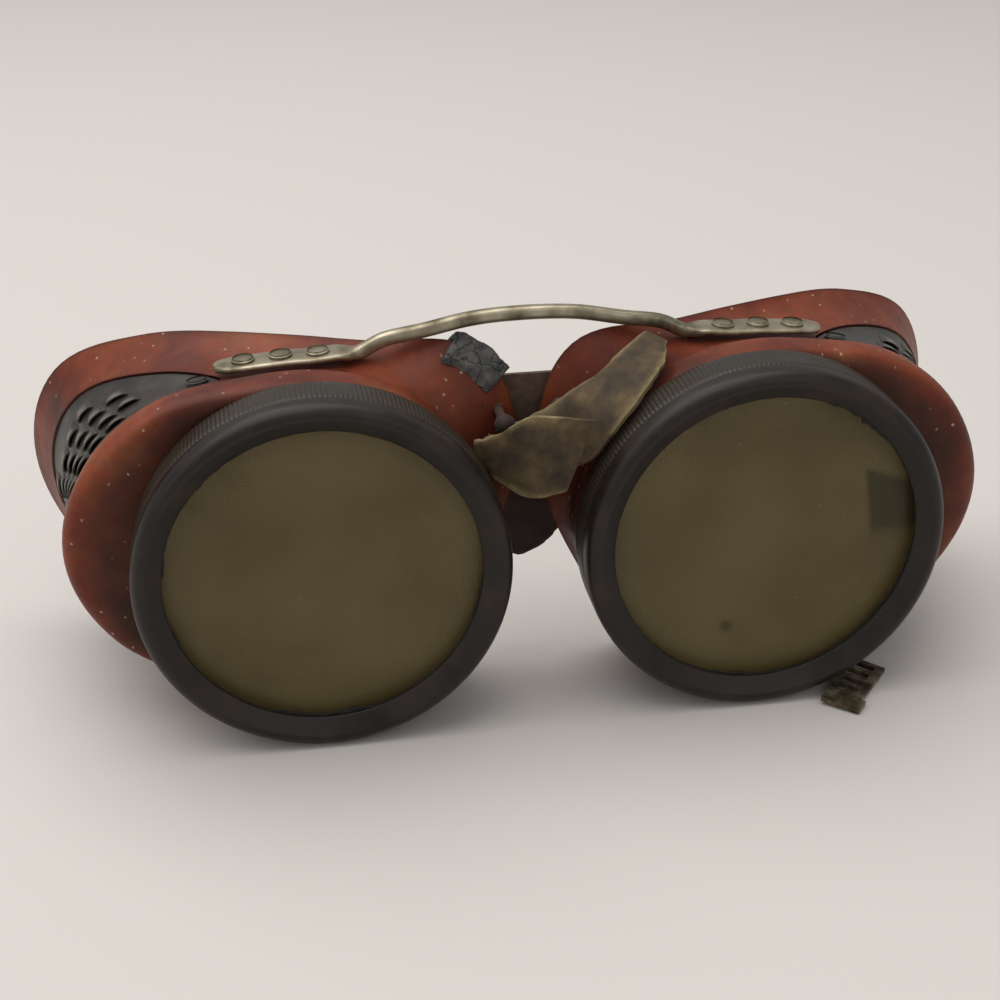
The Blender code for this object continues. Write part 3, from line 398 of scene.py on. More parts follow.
stained = add(tree, "ShaderNodeMix", {"data_type": "RGBA"},
              {"Factor": stain.outputs["Fac"], "A": dusted.outputs["Result"], "B": linear("#1b190f")})
tree.links.new(stained.outputs["Result"], shader.inputs["Base Color"])

cover_finish = new_finish(
    "clear_cover_glass", roughness=0.05, base_color=linear("#3a3626"), alpha=0.07)[0]
print("made", filter_finish.name, "and", cover_finish.name)

# %% [markdown]
# **Nickel silver.** The bridge is nickel-plated wire. Age has left it a warm grey with brown
# stains, and green verdigris has started where the leather holds damp against the right bend.

# %% Bridge finish
bridge_finish, tree, shader, coords = new_finish("stained_nickel_plate", roughness=0.38, metallic=0.85)
cloud = add(tree, "ShaderNodeTexNoise", None, {"Vector": coords, "Scale": per(3.5), "Detail": 6.0})
plated = add(tree, "ShaderNodeValToRGB", {"stops": [
    (0.30, linear("#5e5646")), (0.47, linear("#938a74")), (0.70, linear("#b6ad98"))]},
    {"Fac": cloud.outputs["Fac"]})
damp = add(tree, "ShaderNodeAttribute", {"attribute_name": "damp"})
specks = add(tree, "ShaderNodeTexNoise", None, {"Vector": coords, "Scale": per(1.1), "Detail": 5.0})
spots = add(tree, "ShaderNodeMath", {"operation": "MULTIPLY_ADD", "use_clamp": True},
            {0: specks.outputs["Fac"], 1: 2.0, 2: -0.4})
green = add(tree, "ShaderNodeMath", {"operation": "MULTIPLY"},
            {0: spots.outputs["Value"], 1: damp.outputs["Fac"]})
corroded = add(tree, "ShaderNodeMix", {"data_type": "RGBA"},
               {"Factor": green.outputs["Value"], "A": plated.outputs["Color"], "B": linear("#55583f")})
tree.links.new(corroded.outputs["Result"], shader.inputs["Base Color"])
gloss = add(tree, "ShaderNodeMapRange", None,
            {"Value": cloud.outputs["Fac"], "From Min": 0.3, "From Max": 0.7, "To Min": 0.5, "To Max": 0.3})
tree.links.new(gloss.outputs["Result"], shader.inputs["Roughness"])
relief = add(tree, "ShaderNodeBump", None,
             {"Strength": 0.25, "Distance": 0.05 * MM, "Height": specks.outputs["Fac"]})
tree.links.new(relief.outputs["Normal"], shader.inputs["Normal"])
print("made", bridge_finish.name)

# %% [markdown]
# ** Leather.** Chrome-tanned hide, once tan, now olive-brown from sweat and dust. Its flesh side
# is matt, its cut edges are rubbed pale, and its grain is a net of fine wrinkles about half a
# millimetre apart. The strap behind the nose is the same hide, nearly black; its upper part gets the
# same pale colour as a painted highlight, where the light from above falls on it.

# %% Leather finishes
def leather(name, dark, mid, light, pale_rub_and_highlight):
    """Hide in three cloudy tones, pale where marked (rubbed edges on the leaf, a painted highlight on the
    strap's upper part), with a wrinkled grain.
    """
    finish, tree, shader, coords = new_finish(name, roughness=0.78)
    shader.inputs["Sheen Weight"].default_value = 0.04
    shader.inputs["Sheen Roughness"].default_value = 0.5
    cloud = add(tree, "ShaderNodeTexNoise", None,
                {"Vector": coords, "Scale": per(4.5), "Detail": 7.0, "Roughness": 0.62})
    tones = add(tree, "ShaderNodeValToRGB", {"stops": [
        (0.32, linear(dark)), (0.5, linear(mid)), (0.7, linear(light))]}, {"Fac": cloud.outputs["Fac"]})
    edge = add(tree, "ShaderNodeAttribute", {"attribute_name": "edge"})
    rub = add(tree, "ShaderNodeTexNoise", None, {"Vector": coords, "Scale": per(1.2), "Detail": 5.0})
    amount = add(tree, "ShaderNodeMath", {"operation": "MULTIPLY"},
                 {0: rub.outputs["Fac"], 1: edge.outputs["Fac"]})
    # Pale where marked: rubbed edges on the leaf, and a painted highlight on the strap's upper part.
    pale = add(tree, "ShaderNodeMix", {"data_type": "RGBA"},
               {"Factor": amount.outputs["Value"], "A": tones.outputs["Color"], "B": linear(pale_rub_and_highlight)})
    tree.links.new(pale.outputs["Result"], shader.inputs["Base Color"])
    grain = add(tree, "ShaderNodeTexVoronoi", {"feature": "DISTANCE_TO_EDGE"},
                {"Vector": coords, "Scale": per(0.5)})
    creases = add(tree, "ShaderNodeMath", {"operation": "MULTIPLY_ADD"},
                  {0: grain.outputs["Distance"], 1: 0.5, 2: rub.outputs["Fac"]})
    relief = add(tree, "ShaderNodeBump", None,
                 {"Strength": 0.5, "Distance": 0.12 * MM, "Height": creases.outputs["Value"]})
    tree.links.new(relief.outputs["Normal"], shader.inputs["Normal"])
    return finish


leather_finish = leather("olive_brown_hide", "#281e10", "#43341e", "#604d2e", "#9c8a60")
dark_leather_finish = leather("blackened_hide", "#1b0f0b", "#2f1a13", "#432a20", "#6b5444")
print("made", leather_finish.name, "and", dark_leather_finish.name)

# %% [markdown]
# **Perished rubber** has gone grey and brittle, with dark cracks every few millimetres. **Plated
# steel**, for the band hardware, shows brown rust through thin plating. **Black gasket** rubber is
# nearly hidden behind the ring's lip.

# %% Rubber and steel finishes
rubber_finish, tree, shader, coords = new_finish("perished_grey_rubber", roughness=0.85)
bent = add(tree, "ShaderNodeTexNoise", None, {"Vector": coords, "Scale": per(1.6), "Detail": 4.0})
shifted = add(tree, "ShaderNodeMix", {"data_type": "VECTOR"},
              {"Factor": 1.6 * MM, "A": coords, "B": bent.outputs["Color"]})
cracks = add(tree, "ShaderNodeTexVoronoi", {"feature": "DISTANCE_TO_EDGE"},
             {"Vector": shifted.outputs["Result"], "Scale": per(3.6)})
split = add(tree, "ShaderNodeValToRGB", band(0.0, 0.03), {"Fac": cracks.outputs["Distance"]})
cloud = add(tree, "ShaderNodeTexNoise", None, {"Vector": coords, "Scale": per(1.5), "Detail": 6.0})
greys = add(tree, "ShaderNodeValToRGB", {"stops": [
    (0.35, linear("#393a39")), (0.7, linear("#5f5d59"))]}, {"Fac": cloud.outputs["Fac"]})
cracked = add(tree, "ShaderNodeMix", {"data_type": "RGBA"},
              {"Factor": split.outputs["Color"], "A": linear("#151618"), "B": greys.outputs["Color"]})
tree.links.new(cracked.outputs["Result"], shader.inputs["Base Color"])
relief = add(tree, "ShaderNodeBump", None,
             {"Strength": 0.5, "Distance": 0.2 * MM, "Height": split.outputs["Color"]})
tree.links.new(relief.outputs["Normal"], shader.inputs["Normal"])

steel_finish, tree, shader, coords = new_finish("thin_plated_steel", roughness=0.5, metallic=0.8)
cloud = add(tree, "ShaderNodeTexNoise", None, {"Vector": coords, "Scale": per(2.2), "Detail": 7.0})
rusty = add(tree, "ShaderNodeValToRGB", {"stops": [
    (0.34, linear("#3a2c1e")), (0.5, linear("#5f5542")), (0.68, linear("#8b8168"))]},
    {"Fac": cloud.outputs["Fac"]})
tree.links.new(rusty.outputs["Color"], shader.inputs["Base Color"])
relief = add(tree, "ShaderNodeBump", None,
             {"Strength": 0.3, "Distance": 0.05 * MM, "Height": cloud.outputs["Fac"]})
tree.links.new(relief.outputs["Normal"], shader.inputs["Normal"])

gasket_finish, tree, shader, coords = new_finish("black_gasket_rubber", roughness=0.8)
cloud = add(tree, "ShaderNodeTexNoise", None, {"Vector": coords, "Scale": per(1.0), "Detail": 5.0})
black = add(tree, "ShaderNodeValToRGB", {"stops": [
    (0.35, linear("#161412")), (0.7, linear("#2a2622"))]}, {"Fac": cloud.outputs["Fac"]})
tree.links.new(black.outputs["Color"], shader.inputs["Base Color"])
print("made", rubber_finish.name, steel_finish.name, gasket_finish.name)

# %% [markdown]
# ## The cup's surface
# A cup isn't round: it reaches out to the temple and has a corner that fits beside the nose. Two
# outlines describe it, one at the edge of the shoulder and one at the face rim, each as a radius
# every 22.5 degrees from the temple over the top. The side runs between them, pulled in a little
# at the waist. `on_cup` gives a point of that side, and everything that sits on the cup uses it.

# %% Cup surface
BAND = [37.6, 36.6, 33.2, 28.8, 27.3, 27.0, 27.0, 27.2, 27.4, 27.0, 26.9, 26.9, 27.2, 27.4, 28.9, 34.4]
RIM = [44.4, 42.7, 34.9, 29.1, 27.3, 29.4, 37.1, 34.6, 30.0, 27.7, 28.5, 27.9, 27.4, 29.2, 34.4, 40.5]
SHOULDER_DEPTH = RING_BACK + 0.5      # the ring stops half a millimetre ahead of the cup
BAND_DEPTH = SHOULDER_DEPTH + 5.4     # where the shoulder has reached its full width
NECK_RADIUS = 26.05
BORE_RADIUS = NECK_RADIUS - 2.8
WALL = 2.2
RIM_DEPTH, RIM_SLANT, RIM_BOW = 30, 0.41, 0.003    # at the axis, its slope, and its curve


def around(table, phi):
    """Smooth closed curve through evenly spaced radii."""
    place = (phi % FULL_TURN) / FULL_TURN * len(table)
    i = int(place)
    t = place - i
    p0, p1, p2, p3 = [table[(i + k) % len(table)] for k in (-1, 0, 1, 2)]
    return 0.5 * (2 * p1 + (p2 - p0) * t + (2 * p0 - 5 * p1 + 4 * p2 - p3) * t ** 2
                  + (3 * p1 - p0 - 3 * p2 + p3) * t ** 3)


def rim_depth(phi):
    """Depth of the face rim, which runs back towards the temple."""
    u = around(RIM, phi) * math.cos(phi)
    return RIM_DEPTH + RIM_SLANT * u + RIM_BOW * u * u


def side_length(phi):
    """Depth from the shoulder's edge to the face rim."""
    return rim_depth(phi) - BAND_DEPTH


def cup_radius(phi, share):
    """Radius of the side, from the shoulder's edge (0) to the face rim (1)."""
    within = min(max(share, 0.0), 1.0)
    waist = min(2.5, 0.14 * side_length(phi)) * max(math.sin(math.pi * within), 0.0) ** 0.8
    return (1 - share) * around(BAND, phi) + share * around(RIM, phi) - waist


def on_cup(side, phi, share, inward=0.0):
    """A point on the cup's side, or that far inside it, as a point of the frame."""
    r = cup_radius(phi, share) - inward
    return at(side, r * math.cos(phi), BAND_DEPTH + share * side_length(phi), r * math.sin(phi))


def share_at(phi, depth):
    """The share of the side that a depth stands for, the other way round."""
    return (depth - BAND_DEPTH) / side_length(phi)


def beside_axis(side, spot):
    """A point of the frame as u, y and z beside a lens axis, in millimetres."""
    return (side * spot.x / MM - EYE_HALF, (spot.y - OPENING_DEPTH) / MM,
            (spot.z - AXIS_HEIGHT) / MM)


print("side of the cup is", round(side_length(0), 1), "mm deep at the temple and",
      round(side_length(math.pi), 1), "mm at the nose")

# %% [markdown]
# ## The vents' outline
# Each vent is a crescent that lies on the temple side of the cup. The same outline is used three
# times: to cut the slot in the cup, to cut the opening that the air goes through, and to shape the
# pressed sheet that fills the slot.

# %% Vent outline
VENT_TIP = math.radians(63)
VENT_OPEN = math.radians(43)          # the air opening stops short of the two rivets
VENT_MIDDLE, VENT_DRIFT, VENT_HALF = 0.405, 0.155, 0.36
SLOT_DEPTH = 1.4
FIT = 0.3                             # clearance of the sheet in its slot


def vent_edges(phi, margin):
    """The vent's front and rear edge at an angle, as shares of the cup's side."""
    s = min(abs(phi) / (VENT_TIP - margin / RING_RADIUS), 1.0)
    centre = VENT_MIDDLE - VENT_DRIFT * s ** 2
    half = max(VENT_HALF * (1 - s ** 2.4) ** 0.52 - margin / side_length(phi), 0.005)
    return centre - half, centre + half


def crescent(side, reach, margin, inward, columns, rows):
    """Spots over the vent between -reach and +reach."""
    spots = []
    for j in range(columns + 1):
        phi = reach * math.sin(math.pi / 2 * (2 * j / columns - 1))
        low, high = vent_edges(phi, margin)
        spots.append([on_cup(side, phi, low + (high - low) * i / rows, inward) for i in range(rows + 1)])
    return spots


def crescent_block(side, reach, margin, outer, inner, columns=48, rows=10):
    """A closed block over the vent between two depths under the cup's surface, for cutting."""
    return plate("vent_block", crescent(side, reach, margin, outer, columns, rows),
                 crescent(side, reach, margin, inner, columns, rows))


print("vents reach", round(math.degrees(VENT_TIP)), "degrees above and below the temple")

# %% [markdown]
# ## The cups
# A cup is one circle extruded down the neck, over the bulging shoulder, along the side, round the
# lip of the face rim and back up the inside, until it meets itself. A revolved profile would be
# quicker, but only the neck is round. So each row is a function of the angle instead.

# %% Cup helpers
CUP_COLUMNS = 144
SHOULDER_CURVE = [(0.0, 0.0), (0.45, 0.0), (0.82, 0.12), (0.97, 0.34), (1.02, 0.66), (1.0, 1.0)]


def circle(side, radius, depth):
    """A round row, as on the neck and in the bore."""
    return [at(side, radius * math.cos(a), depth, radius * math.sin(a))
            for a in [FULL_TURN * j / CUP_COLUMNS for j in range(CUP_COLUMNS)]]


def swept(side, spot):
    """A row of points whose radius and depth are given by a function of the angle."""
    row = []
    for j in range(CUP_COLUMNS):
        phi = FULL_TURN * j / CUP_COLUMNS
        r, y = spot(phi)
        row.append(at(side, r * math.cos(phi), y, r * math.sin(phi)))
    return row


def shoulder_row(side, out, back):
    """A row on the shoulder: out runs from neck (0) to cup edge (1), back from front to rear."""
    def spot(phi):
        return (NECK_RADIUS + out * (around(BAND, phi) - NECK_RADIUS),
                SHOULDER_DEPTH + back * (BAND_DEPTH - SHOULDER_DEPTH))
    return swept(side, spot)


def side_row(side, share, inward=0.0, back=0.0):
    """A row on the side, or on the inner wall when it is moved inward."""
    return swept(side, lambda phi: (cup_radius(phi, share) - inward,
                                    BAND_DEPTH + share * side_length(phi) + back))


def cup_rows(side):
    """Every row of the cup, from the bore over the outside to the rim and back inside."""
    start = [(BORE_RADIUS, SHOULDER_DEPTH + WALL), (BORE_RADIUS, NECK_FRONT + 0.3),
             (BORE_RADIUS + 0.3, NECK_FRONT), (NECK_RADIUS - 0.3, NECK_FRONT),
             (NECK_RADIUS, NECK_FRONT + 0.3), (NECK_RADIUS, SHOULDER_DEPTH - 0.2)]
    rows = [circle(side, r, y) for r, y in start]
    curve = through([(out, back, 0) for out, back in SHOULDER_CURVE], 19)
    rows += [shoulder_row(side, max(p.x, 0.04), max(p.y, 0)) for p in curve[1:]]
    rows += [side_row(side, k / 30) for k in range(1, 31)]
    for k in range(1, 8):
        a = math.pi * k / 8
        rows.append(side_row(side, 1.0, WALL / 2 * (1 - math.cos(a)), 0.8 * math.sin(a)))
    rows += [side_row(side, 1 - k / 12, WALL) for k in range(12)]
    rows.append(side_row(side, 0.03, WALL))
    rows.append(swept(side, lambda phi: (0.45 * BORE_RADIUS + 0.55 * (around(BAND, phi) - WALL),
                                         SHOULDER_DEPTH + 2.9)))
    rows.append([spot.copy() for spot in rows[0]])
    return rows


print("a cup is", len(cup_rows(1)), "rows of", CUP_COLUMNS, "points")

# %% [markdown]
# Now the two cups are made and their slots are cut with a Boolean, since a cut through a finished
# shell is cleaner than modelling round it. The thread on the neck is a separate ridge that winds
# round it. The cups are painted darker where grime gathers and where shade falls: along the neck,
# beside the nose, at the edges of the vent, inside and under the bridge, with painted shade alone
# towards the bottom. A function below works that out for each point of the cup.

# %% Cups
THREAD_PITCH, THREAD_TURNS, THREAD_STEPS = 1.4, 1.6, 160
THREAD_SECTION = ((-0.3, -0.45), (0.15, -0.3), (0.48, -0.1), (0.48, 0.1), (0.15, 0.3), (-0.3, 0.45))
RIVETS = (-2.05, 3.55, 9.15)          # u of the three rivets through each end of the bridge


def neck_thread(name, side):
    """A right-handed ridge, the same way round on both eyes, lofted through a helix."""
    rows = []
    for k in range(THREAD_STEPS + 1):
        a = FULL_TURN * THREAD_TURNS * k / THREAD_STEPS
        fade = min(1.0, k / 6, (THREAD_STEPS - k) / 6)
        depth = RING_BACK - 0.5 - THREAD_PITCH * a / FULL_TURN
        row = []
        for out, back in THREAD_SECTION:
            r = NECK_RADIUS + (out * fade if out > 0 else out)
            row.append(middle(side * EYE_HALF + r * math.cos(a), depth + back, r * math.sin(a)))
        rows.append(row)
    return loft(name, rows, capped=True)


def grime_and_shade_at(side, spot):
    """Grime and painted shade from 0 to 1 at a point of the cup."""
    u, y, z = beside_axis(side, spot)
    phi, r = math.atan2(z, u), math.hypot(u, z)
    share = share_at(phi, y)
    # Painted shade and grime: the neck's crease, the nasal side, the slot's edges, the inside, the rim and
    # the cup under the bridge plates are darkened.
    at_neck = 1.1 - (y - RING_BACK) / 1.9
    to_nose = 0.95 * max(0, -math.cos(phi)) ** 0.7 * max(0, 1 - abs(y - 14) / 9)
    # Painted shade: the underside is darker.
    below = 0.3 * max(0, -math.sin(phi))
    slot_edge = 0
    if abs(phi) < VENT_TIP + 0.05:
        low, high = vent_edges(phi, 0)
        near = min(abs(share - low), abs(share - high)) * side_length(phi)
        slot_edge = 0.75 - near / 0.9
    inside = 0.3 if r < cup_radius(phi, min(max(share, 0), 1)) - 1.5 and y > 12 else 0
    rim_edge = 0.8 if share > 0.985 else 0
    along_plate = abs(u - (RIVETS[0] + RIVETS[2]) / 2) < 9.5 and z > 0
    under_plate = 1.0 - abs(y - 19.3) / 0.9 if along_plate else 0
    return max(at_neck, to_nose, slot_edge, inside, rim_edge, under_plate) + below


for name, side in SIDES.items():
    cup = loft(name + "_cup_shell", cup_rows(side), smooth_angle=50)
    slot_block = crescent_block(side, VENT_TIP, 0, -2.0, SLOT_DEPTH)
    air_block = crescent_block(side, VENT_OPEN, 1.8, -3.0, WALL + 3.0)
    subtract(cup, slot_block, air_block)
    bpy.ops.object.shade_smooth_by_angle(angle=math.radians(42))
    # Painted shade and grime, darker where shade falls.
    paint(cup, "grime", lambda spot: grime_and_shade_at(side, spot))
    hand_over(cup, cup_finish, "frame", "cup_fibre", name + "_eye_cup")
    thread = neck_thread(name + "_neck_thread", side)
    # The thread is darkened all over: painted shade in the gap behind the ring, and grime.
    paint(thread, "grime", lambda spot: 0.8)
    hand_over(thread, cup_finish, "frame", "cup_fibre")
    print(cup.name, len(cup.data.polygons), "faces")

# %% [markdown]
# ## The vents
# The vent is one pressed sheet. Its louvres are scoops about 4 mm wide in staggered rows, each
# one open towards the lens. One scoop is a small plate whose height rises from nothing at the back
# to its mouth at the front. It is laid on the crescent again and again, and each one follows the
# curve of the cup. The rim of each mouth is painted lighter: metal rubbed by hands, and a painted
# highlight where the lip catches the light.

# %% Vents
SCOOP_PITCH, ROW_PITCH = 4.2, 5.0
SCOOP_HALF, SCOOP_LENGTH, SCOOP_HEIGHT = 1.95, 3.6, 0.68
FIRST_ROW, LAST_GAP = 2.6, 1.0        # from the crescent's front edge, and to its rear edge
VENT_RADIUS = 36                      # of the cup under the vent, about
LOUVRE_REACH = math.radians(40)
SEAT = SLOT_DEPTH - FIT               # how deep the sheet's back lies under the cup's surface
SHEET_FACE = SEAT - 0.8               # and its face, one sheet thickness above that


def scoop_spot(side, phi, share, across, back, lift):
    """A place on one louvre: across and back in shares of its size, lift in millimetres."""
    r = cup_radius(phi, share)
    angle = phi + across * SCOOP_HALF / r
    place = share + back * SCOOP_LENGTH / side_length(phi)
    return on_cup(side, angle, place, SHEET_FACE - lift)


def scoop(side, phi, share):
    """One louvre as a curved plate with a real mouth."""
    outer, inner = [], []
    for i in range(9):
        across = -1 + i / 4
        dome = math.sqrt(max(1 - across * across, 0))
        outer_row, inner_row = [], []
        for j in range(6):
            back = j / 5
            rise = SCOOP_HEIGHT * dome * math.cos(math.pi / 2 * back) ** 0.8
            narrow = across * (1 - 0.25 * back * back)
            outer_row.append(scoop_spot(side, phi, share, narrow, back, rise + 0.05))
            inner_row.append(scoop_spot(side, phi, share, narrow * 0.9, back, max(rise - 0.2, -0.12)))
        outer.append(outer_row)
        inner.append(inner_row)
    return plate("louvre", outer, inner, smooth_angle=50)


def scoop_places():
    """Angle and front share of every louvre that fits on the crescent."""
    places = []
    for row in range(5):
        distance = FIRST_ROW + row * ROW_PITCH
        for k in range(-12, 13):
            phi = (k + 0.5 * (row % 2)) * SCOOP_PITCH / VENT_RADIUS
            low, high = vent_edges(phi, FIT)
            width = (high - low) * side_length(phi)
            if abs(phi) <= LOUVRE_REACH and distance + SCOOP_LENGTH < width - LAST_GAP:
                places.append((phi, low + distance / side_length(phi)))
    return places


def join(name, pieces):
    """Many pieces made one, under one name."""
    deselect()
    for piece in pieces:
        piece.select_set(True)
    bpy.context.view_layer.objects.active = pieces[0]
    bpy.ops.object.join()
    pieces[0].name = pieces[0].data.name = name
    return pieces[0]


def rubbed_and_highlit_edge(side, spot):
    """Wear and painted highlight from 0 to 1, which starts half a millimetre above the sheet."""
    u, y, z = beside_axis(side, spot)
    phi, r = math.atan2(z, u), math.hypot(u, z)
    lift = r - cup_radius(phi, share_at(phi, y)) + SHEET_FACE
    return (lift - 0.5) * 2.4


reach = VENT_TIP - FIT / 25           # the clearance as an angle, at the tips' radius
for name, side in SIDES.items():
    sheet = plate(name + "_vent_sheet", crescent(side, reach, FIT, SHEET_FACE, 72, 16),
                  crescent(side, reach, FIT, SEAT, 72, 16))
    scoops = [scoop(side, phi, share) for phi, share in scoop_places()]
    louvres = join(name + "_vent_louvres", scoops)
    # The raised lips are painted lighter: rubbed metal and a painted highlight.
    paint(louvres, "worn", lambda spot: rubbed_and_highlit_edge(side, spot))
    for piece in (sheet, louvres):
        hand_over(piece, vent_finish, "frame", "vent_metal", name + "_side_vent")
    print(louvres.name, len(scoops), "louvres,", len(louvres.data.polygons), "faces")

# %% [markdown]
# ## The lens rings
# A ring is turned: the same profile all round. Its rear two thirds are knurled with 240 fine ribs,
# which need four points each, so the circle has 960. The front is rounded over and slopes in to
# the lip that holds the glass.

# %% Rings
RIBS, RIB_HEIGHT = 240, 0.15
LIP_RADIUS, LIP_BACK = 23.5, 1.5      # the lip's opening and the face that the glass lies on
POCKET_RADIUS = 25.3                  # round the glass
GROOVE_RADIUS = 26.8                  # clears the neck and its thread
KNURL_FRONT = 3.3
BELOW_KNURL = RING_RADIUS - 0.28      # the fine groove that ends the knurling

ring_front = through([(LIP_RADIUS, LIP_BACK, 0), (LIP_RADIUS, 1.15, 0), (LIP_RADIUS + 0.25, 0.9, 0),
                      (RING_RADIUS - 3.4, 0.3, 0), (RING_RADIUS - 2.5, -0.3, 0),
                      (RING_RADIUS - 1.9, RING_FRONT, 0), (RING_RADIUS - 1.0, -0.35, 0),
                      (RING_RADIUS - 0.25, 0.5, 0), (RING_RADIUS - 0.02, 1.8, 0),
                      (RING_RADIUS, 2.9, 0)], 37)
ring_profile = [(p.x, p.y, 0) for p in ring_front] + [(BELOW_KNURL, 3.0, 0)]
ring_profile += [(BELOW_KNURL, KNURL_FRONT - 0.1, 0), (RING_RADIUS - 0.02, KNURL_FRONT + 0.15, 1)]
ring_profile += [(RING_RADIUS, y, 1) for y in (4.5, 6.0, 7.5, RING_BACK - 0.6)]
ring_profile += [(RING_RADIUS - 0.1, RING_BACK - 0.35, 1), (RING_RADIUS - 0.45, RING_BACK, 0),
                 (GROOVE_RADIUS, RING_BACK, 0), (GROOVE_RADIUS, NECK_FRONT - 0.3, 0),
                 (POCKET_RADIUS, NECK_FRONT - 0.3, 0), (POCKET_RADIUS, LIP_BACK, 0),
                 (LIP_RADIUS, LIP_BACK, 0)]
for name, side in SIDES.items():
    rows = []
    for radius, depth, ribbed in ring_profile:
        row = []
        for j in range(RIBS * 4):
            a = FULL_TURN * j / (RIBS * 4)
            rib = (0.0, 0.5, 1.0, 0.5)[j % 4] * RIB_HEIGHT * ribbed
            r = radius - RIB_HEIGHT * ribbed + rib
            row.append(at(side, r * math.cos(a), depth, r * math.sin(a)))
        rows.append(row)
    ring = loft(name + "_knurled_ring", rows, smooth_angle=55)
    paint(ring, "knurl", lambda spot: ((spot.y - OPENING_DEPTH) / MM - KNURL_FRONT + 0.3) * 2)
    hand_over(ring, ring_finish, name + "_ring", "ring_moulding", name + "_lens_ring")
    print(ring.name, len(ring.data.polygons), "faces")

# %% [markdown]
# ## The glasses and gaskets
# The two glasses are plain discs. Each is lofted from a tiny circle outwards, round a softened
# edge and back in, because a cylinder's flat end has no points inside it to paint the stains on.
# The gasket in front is old: its inner edge has torn and shows behind the ring's lip, so its inner
# radius wanders. The gasket behind is plain, so the frame's own one stays, in the same rubber.

# %% Glass stack
def disc(name, side, node, rings=48, segments=144):
    """A disc with a rounded edge in the place of a glass of the frame, fine enough to paint."""
    low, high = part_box(node)
    front, back = [(y - OPENING_DEPTH) / MM for y in (low.y, high.y)]
    radius = (high.x - low.x) / 2 / MM
    steps = [(0.01 + 0.99 * k / rings) * (radius - 0.2) for k in range(rings + 1)]
    profile = [(r, front) for r in steps] + [(radius - 0.06, front + 0.06), (radius, front + 0.2)]
    profile += [(radius, back - 0.2), (radius - 0.06, back - 0.06)] + [(r, back) for r in steps[::-6]]
    rows = [[at(side, r * math.cos(FULL_TURN * j / segments), y, r * math.sin(FULL_TURN * j / segments))
             for j in range(segments)] for r, y in profile]
    return loft(name, rows, capped=True, smooth_angle=30)


def stain(spot):
    """Two marks on the right filter: a hard-edged smear near the temple and a round spot below."""
    u, z = spot.x / MM - EYE_HALF, (spot.z - AXIS_HEIGHT) / MM
    smear = min((u - 15.4 - 0.16 * (10 - z)) * 1.6, (10.4 - 0.35 * (u - 15) - z) * 1.2, (z + 2.5) * 0.35)
    blot = 1.3 - math.hypot(u + 5, z + 15.5) / 1.1
    return 0.7 * max(min(smear, 1), min(blot, 0.8), 0)


TEAR = math.radians(50)               # where the largest scrap hangs in
GASKET_STEPS = 240


def torn_gasket(name, side, node, seed):
    """A thin ring whose inner edge wanders where the rubber has torn."""
    low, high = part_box(node)
    front, back = [(y - OPENING_DEPTH) / MM for y in (low.y, high.y)]
    outer = (high.x - low.x) / 2 / MM
    profile = ((0, front), (1, front), (1, back), (0, back), (0, front))
    rows = []
    for inside, depth in profile:
        row = []
        for j in range(GASKET_STEPS):
            a = FULL_TURN * j / GASKET_STEPS
            wander = noise.noise(Vector((3 * math.cos(a), 3 * math.sin(a), seed)))
            frayed = noise.noise(Vector((22 * math.cos(a), 22 * math.sin(a), seed)))
            torn = (max(0, wander) + 0.8 * math.exp(-((a - TEAR) / 0.2) ** 2)) * (0.9 + 0.9 * frayed)
            r = LIP_RADIUS + 0.25 - torn if inside else outer
            row.append(at(side, r * math.cos(a), depth, r * math.sin(a)))
        rows.append(row)
    return loft(name, rows, smooth_angle=50)


for name, side in SIDES.items():
    stack = name + "_lens_stack"
    cover = disc(name + "_cover_disc", side, name + "_cover_glass")
    hand_over(cover, cover_finish, stack, "cover_glass", name + "_cover_glass")
    dark_glass = disc(name + "_filter_disc", side, name + "_filter_glass")
    paint(dark_glass, "stain", stain if side > 0 else lambda spot: 0)
    hand_over(dark_glass, filter_finish, stack, "filter_glass", name + "_filter_glass")
    front_gasket = torn_gasket(name + "_torn_gasket", side, name + "_front_gasket", 5.3 + side)
    hand_over(front_gasket, gasket_finish, stack, "gasket_rubber", name + "_front_gasket")
    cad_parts[name + "_rear_gasket"].material_slots[0].material = gasket_finish
    print(name, "stack: cover, filter and torn gasket")

# %% [markdown]
# ## The bridge wire
# The bridge is one length of round wire whose ends have been hammered flat, rounded off and
# riveted to the cups. It is lofted along its own line: each cross-section says where the wire is,
# how wide it is across the cups and how thick. The frame's wire gives its depth, its ends and its
# top; the flattened plates take their height from the cups under them.

# %% Bridge wire
bridge_low, bridge_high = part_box("bridge_wire")
BRIDGE_BACK = ((bridge_low.y + bridge_high.y) / 2 - OPENING_DEPTH) / MM
PLATE_END = bridge_high.x / MM
WIRE_TOP = (bridge_high.z - AXIS_HEIGHT) / MM
WIRE_RADIUS = 1.1
PLATE_HALF, PLATE_THICK = 2.8, 0.55   # half the plate's width, and half its thickness
PLATE_LIFT = 1.0                      # of its middle over the cup


def top_of_cup(u, y):
    """Height of the cup's top at this width and depth."""
    low, high = math.radians(20), math.radians(150)
    for _ in range(30):
        phi = (low + high) / 2
        if cup_radius(phi, share_at(phi, y)) * math.cos(phi) > u:
            low = phi
        else:
            high = phi
    return cup_radius(low, share_at(low, y)) * math.sin(low)


def plate_height(x):
    """Middle of the flattened plate over the cup."""
    u = x - EYE_HALF
    return max(top_of_cup(u, BRIDGE_BACK + k) for k in (-PLATE_HALF, 0, PLATE_HALF)) + PLATE_LIFT


def rounded(angle, wide, thick):
    """A point of a cross-section: nearly round where it is thick, and flat-faced where thin."""
    c, s = math.cos(angle), math.sin(angle)
    power = 0.75 if thick > 0.9 else 0.4
    return (wide * math.copysign(abs(c) ** 0.75, c), thick * math.copysign(abs(s) ** power, s))


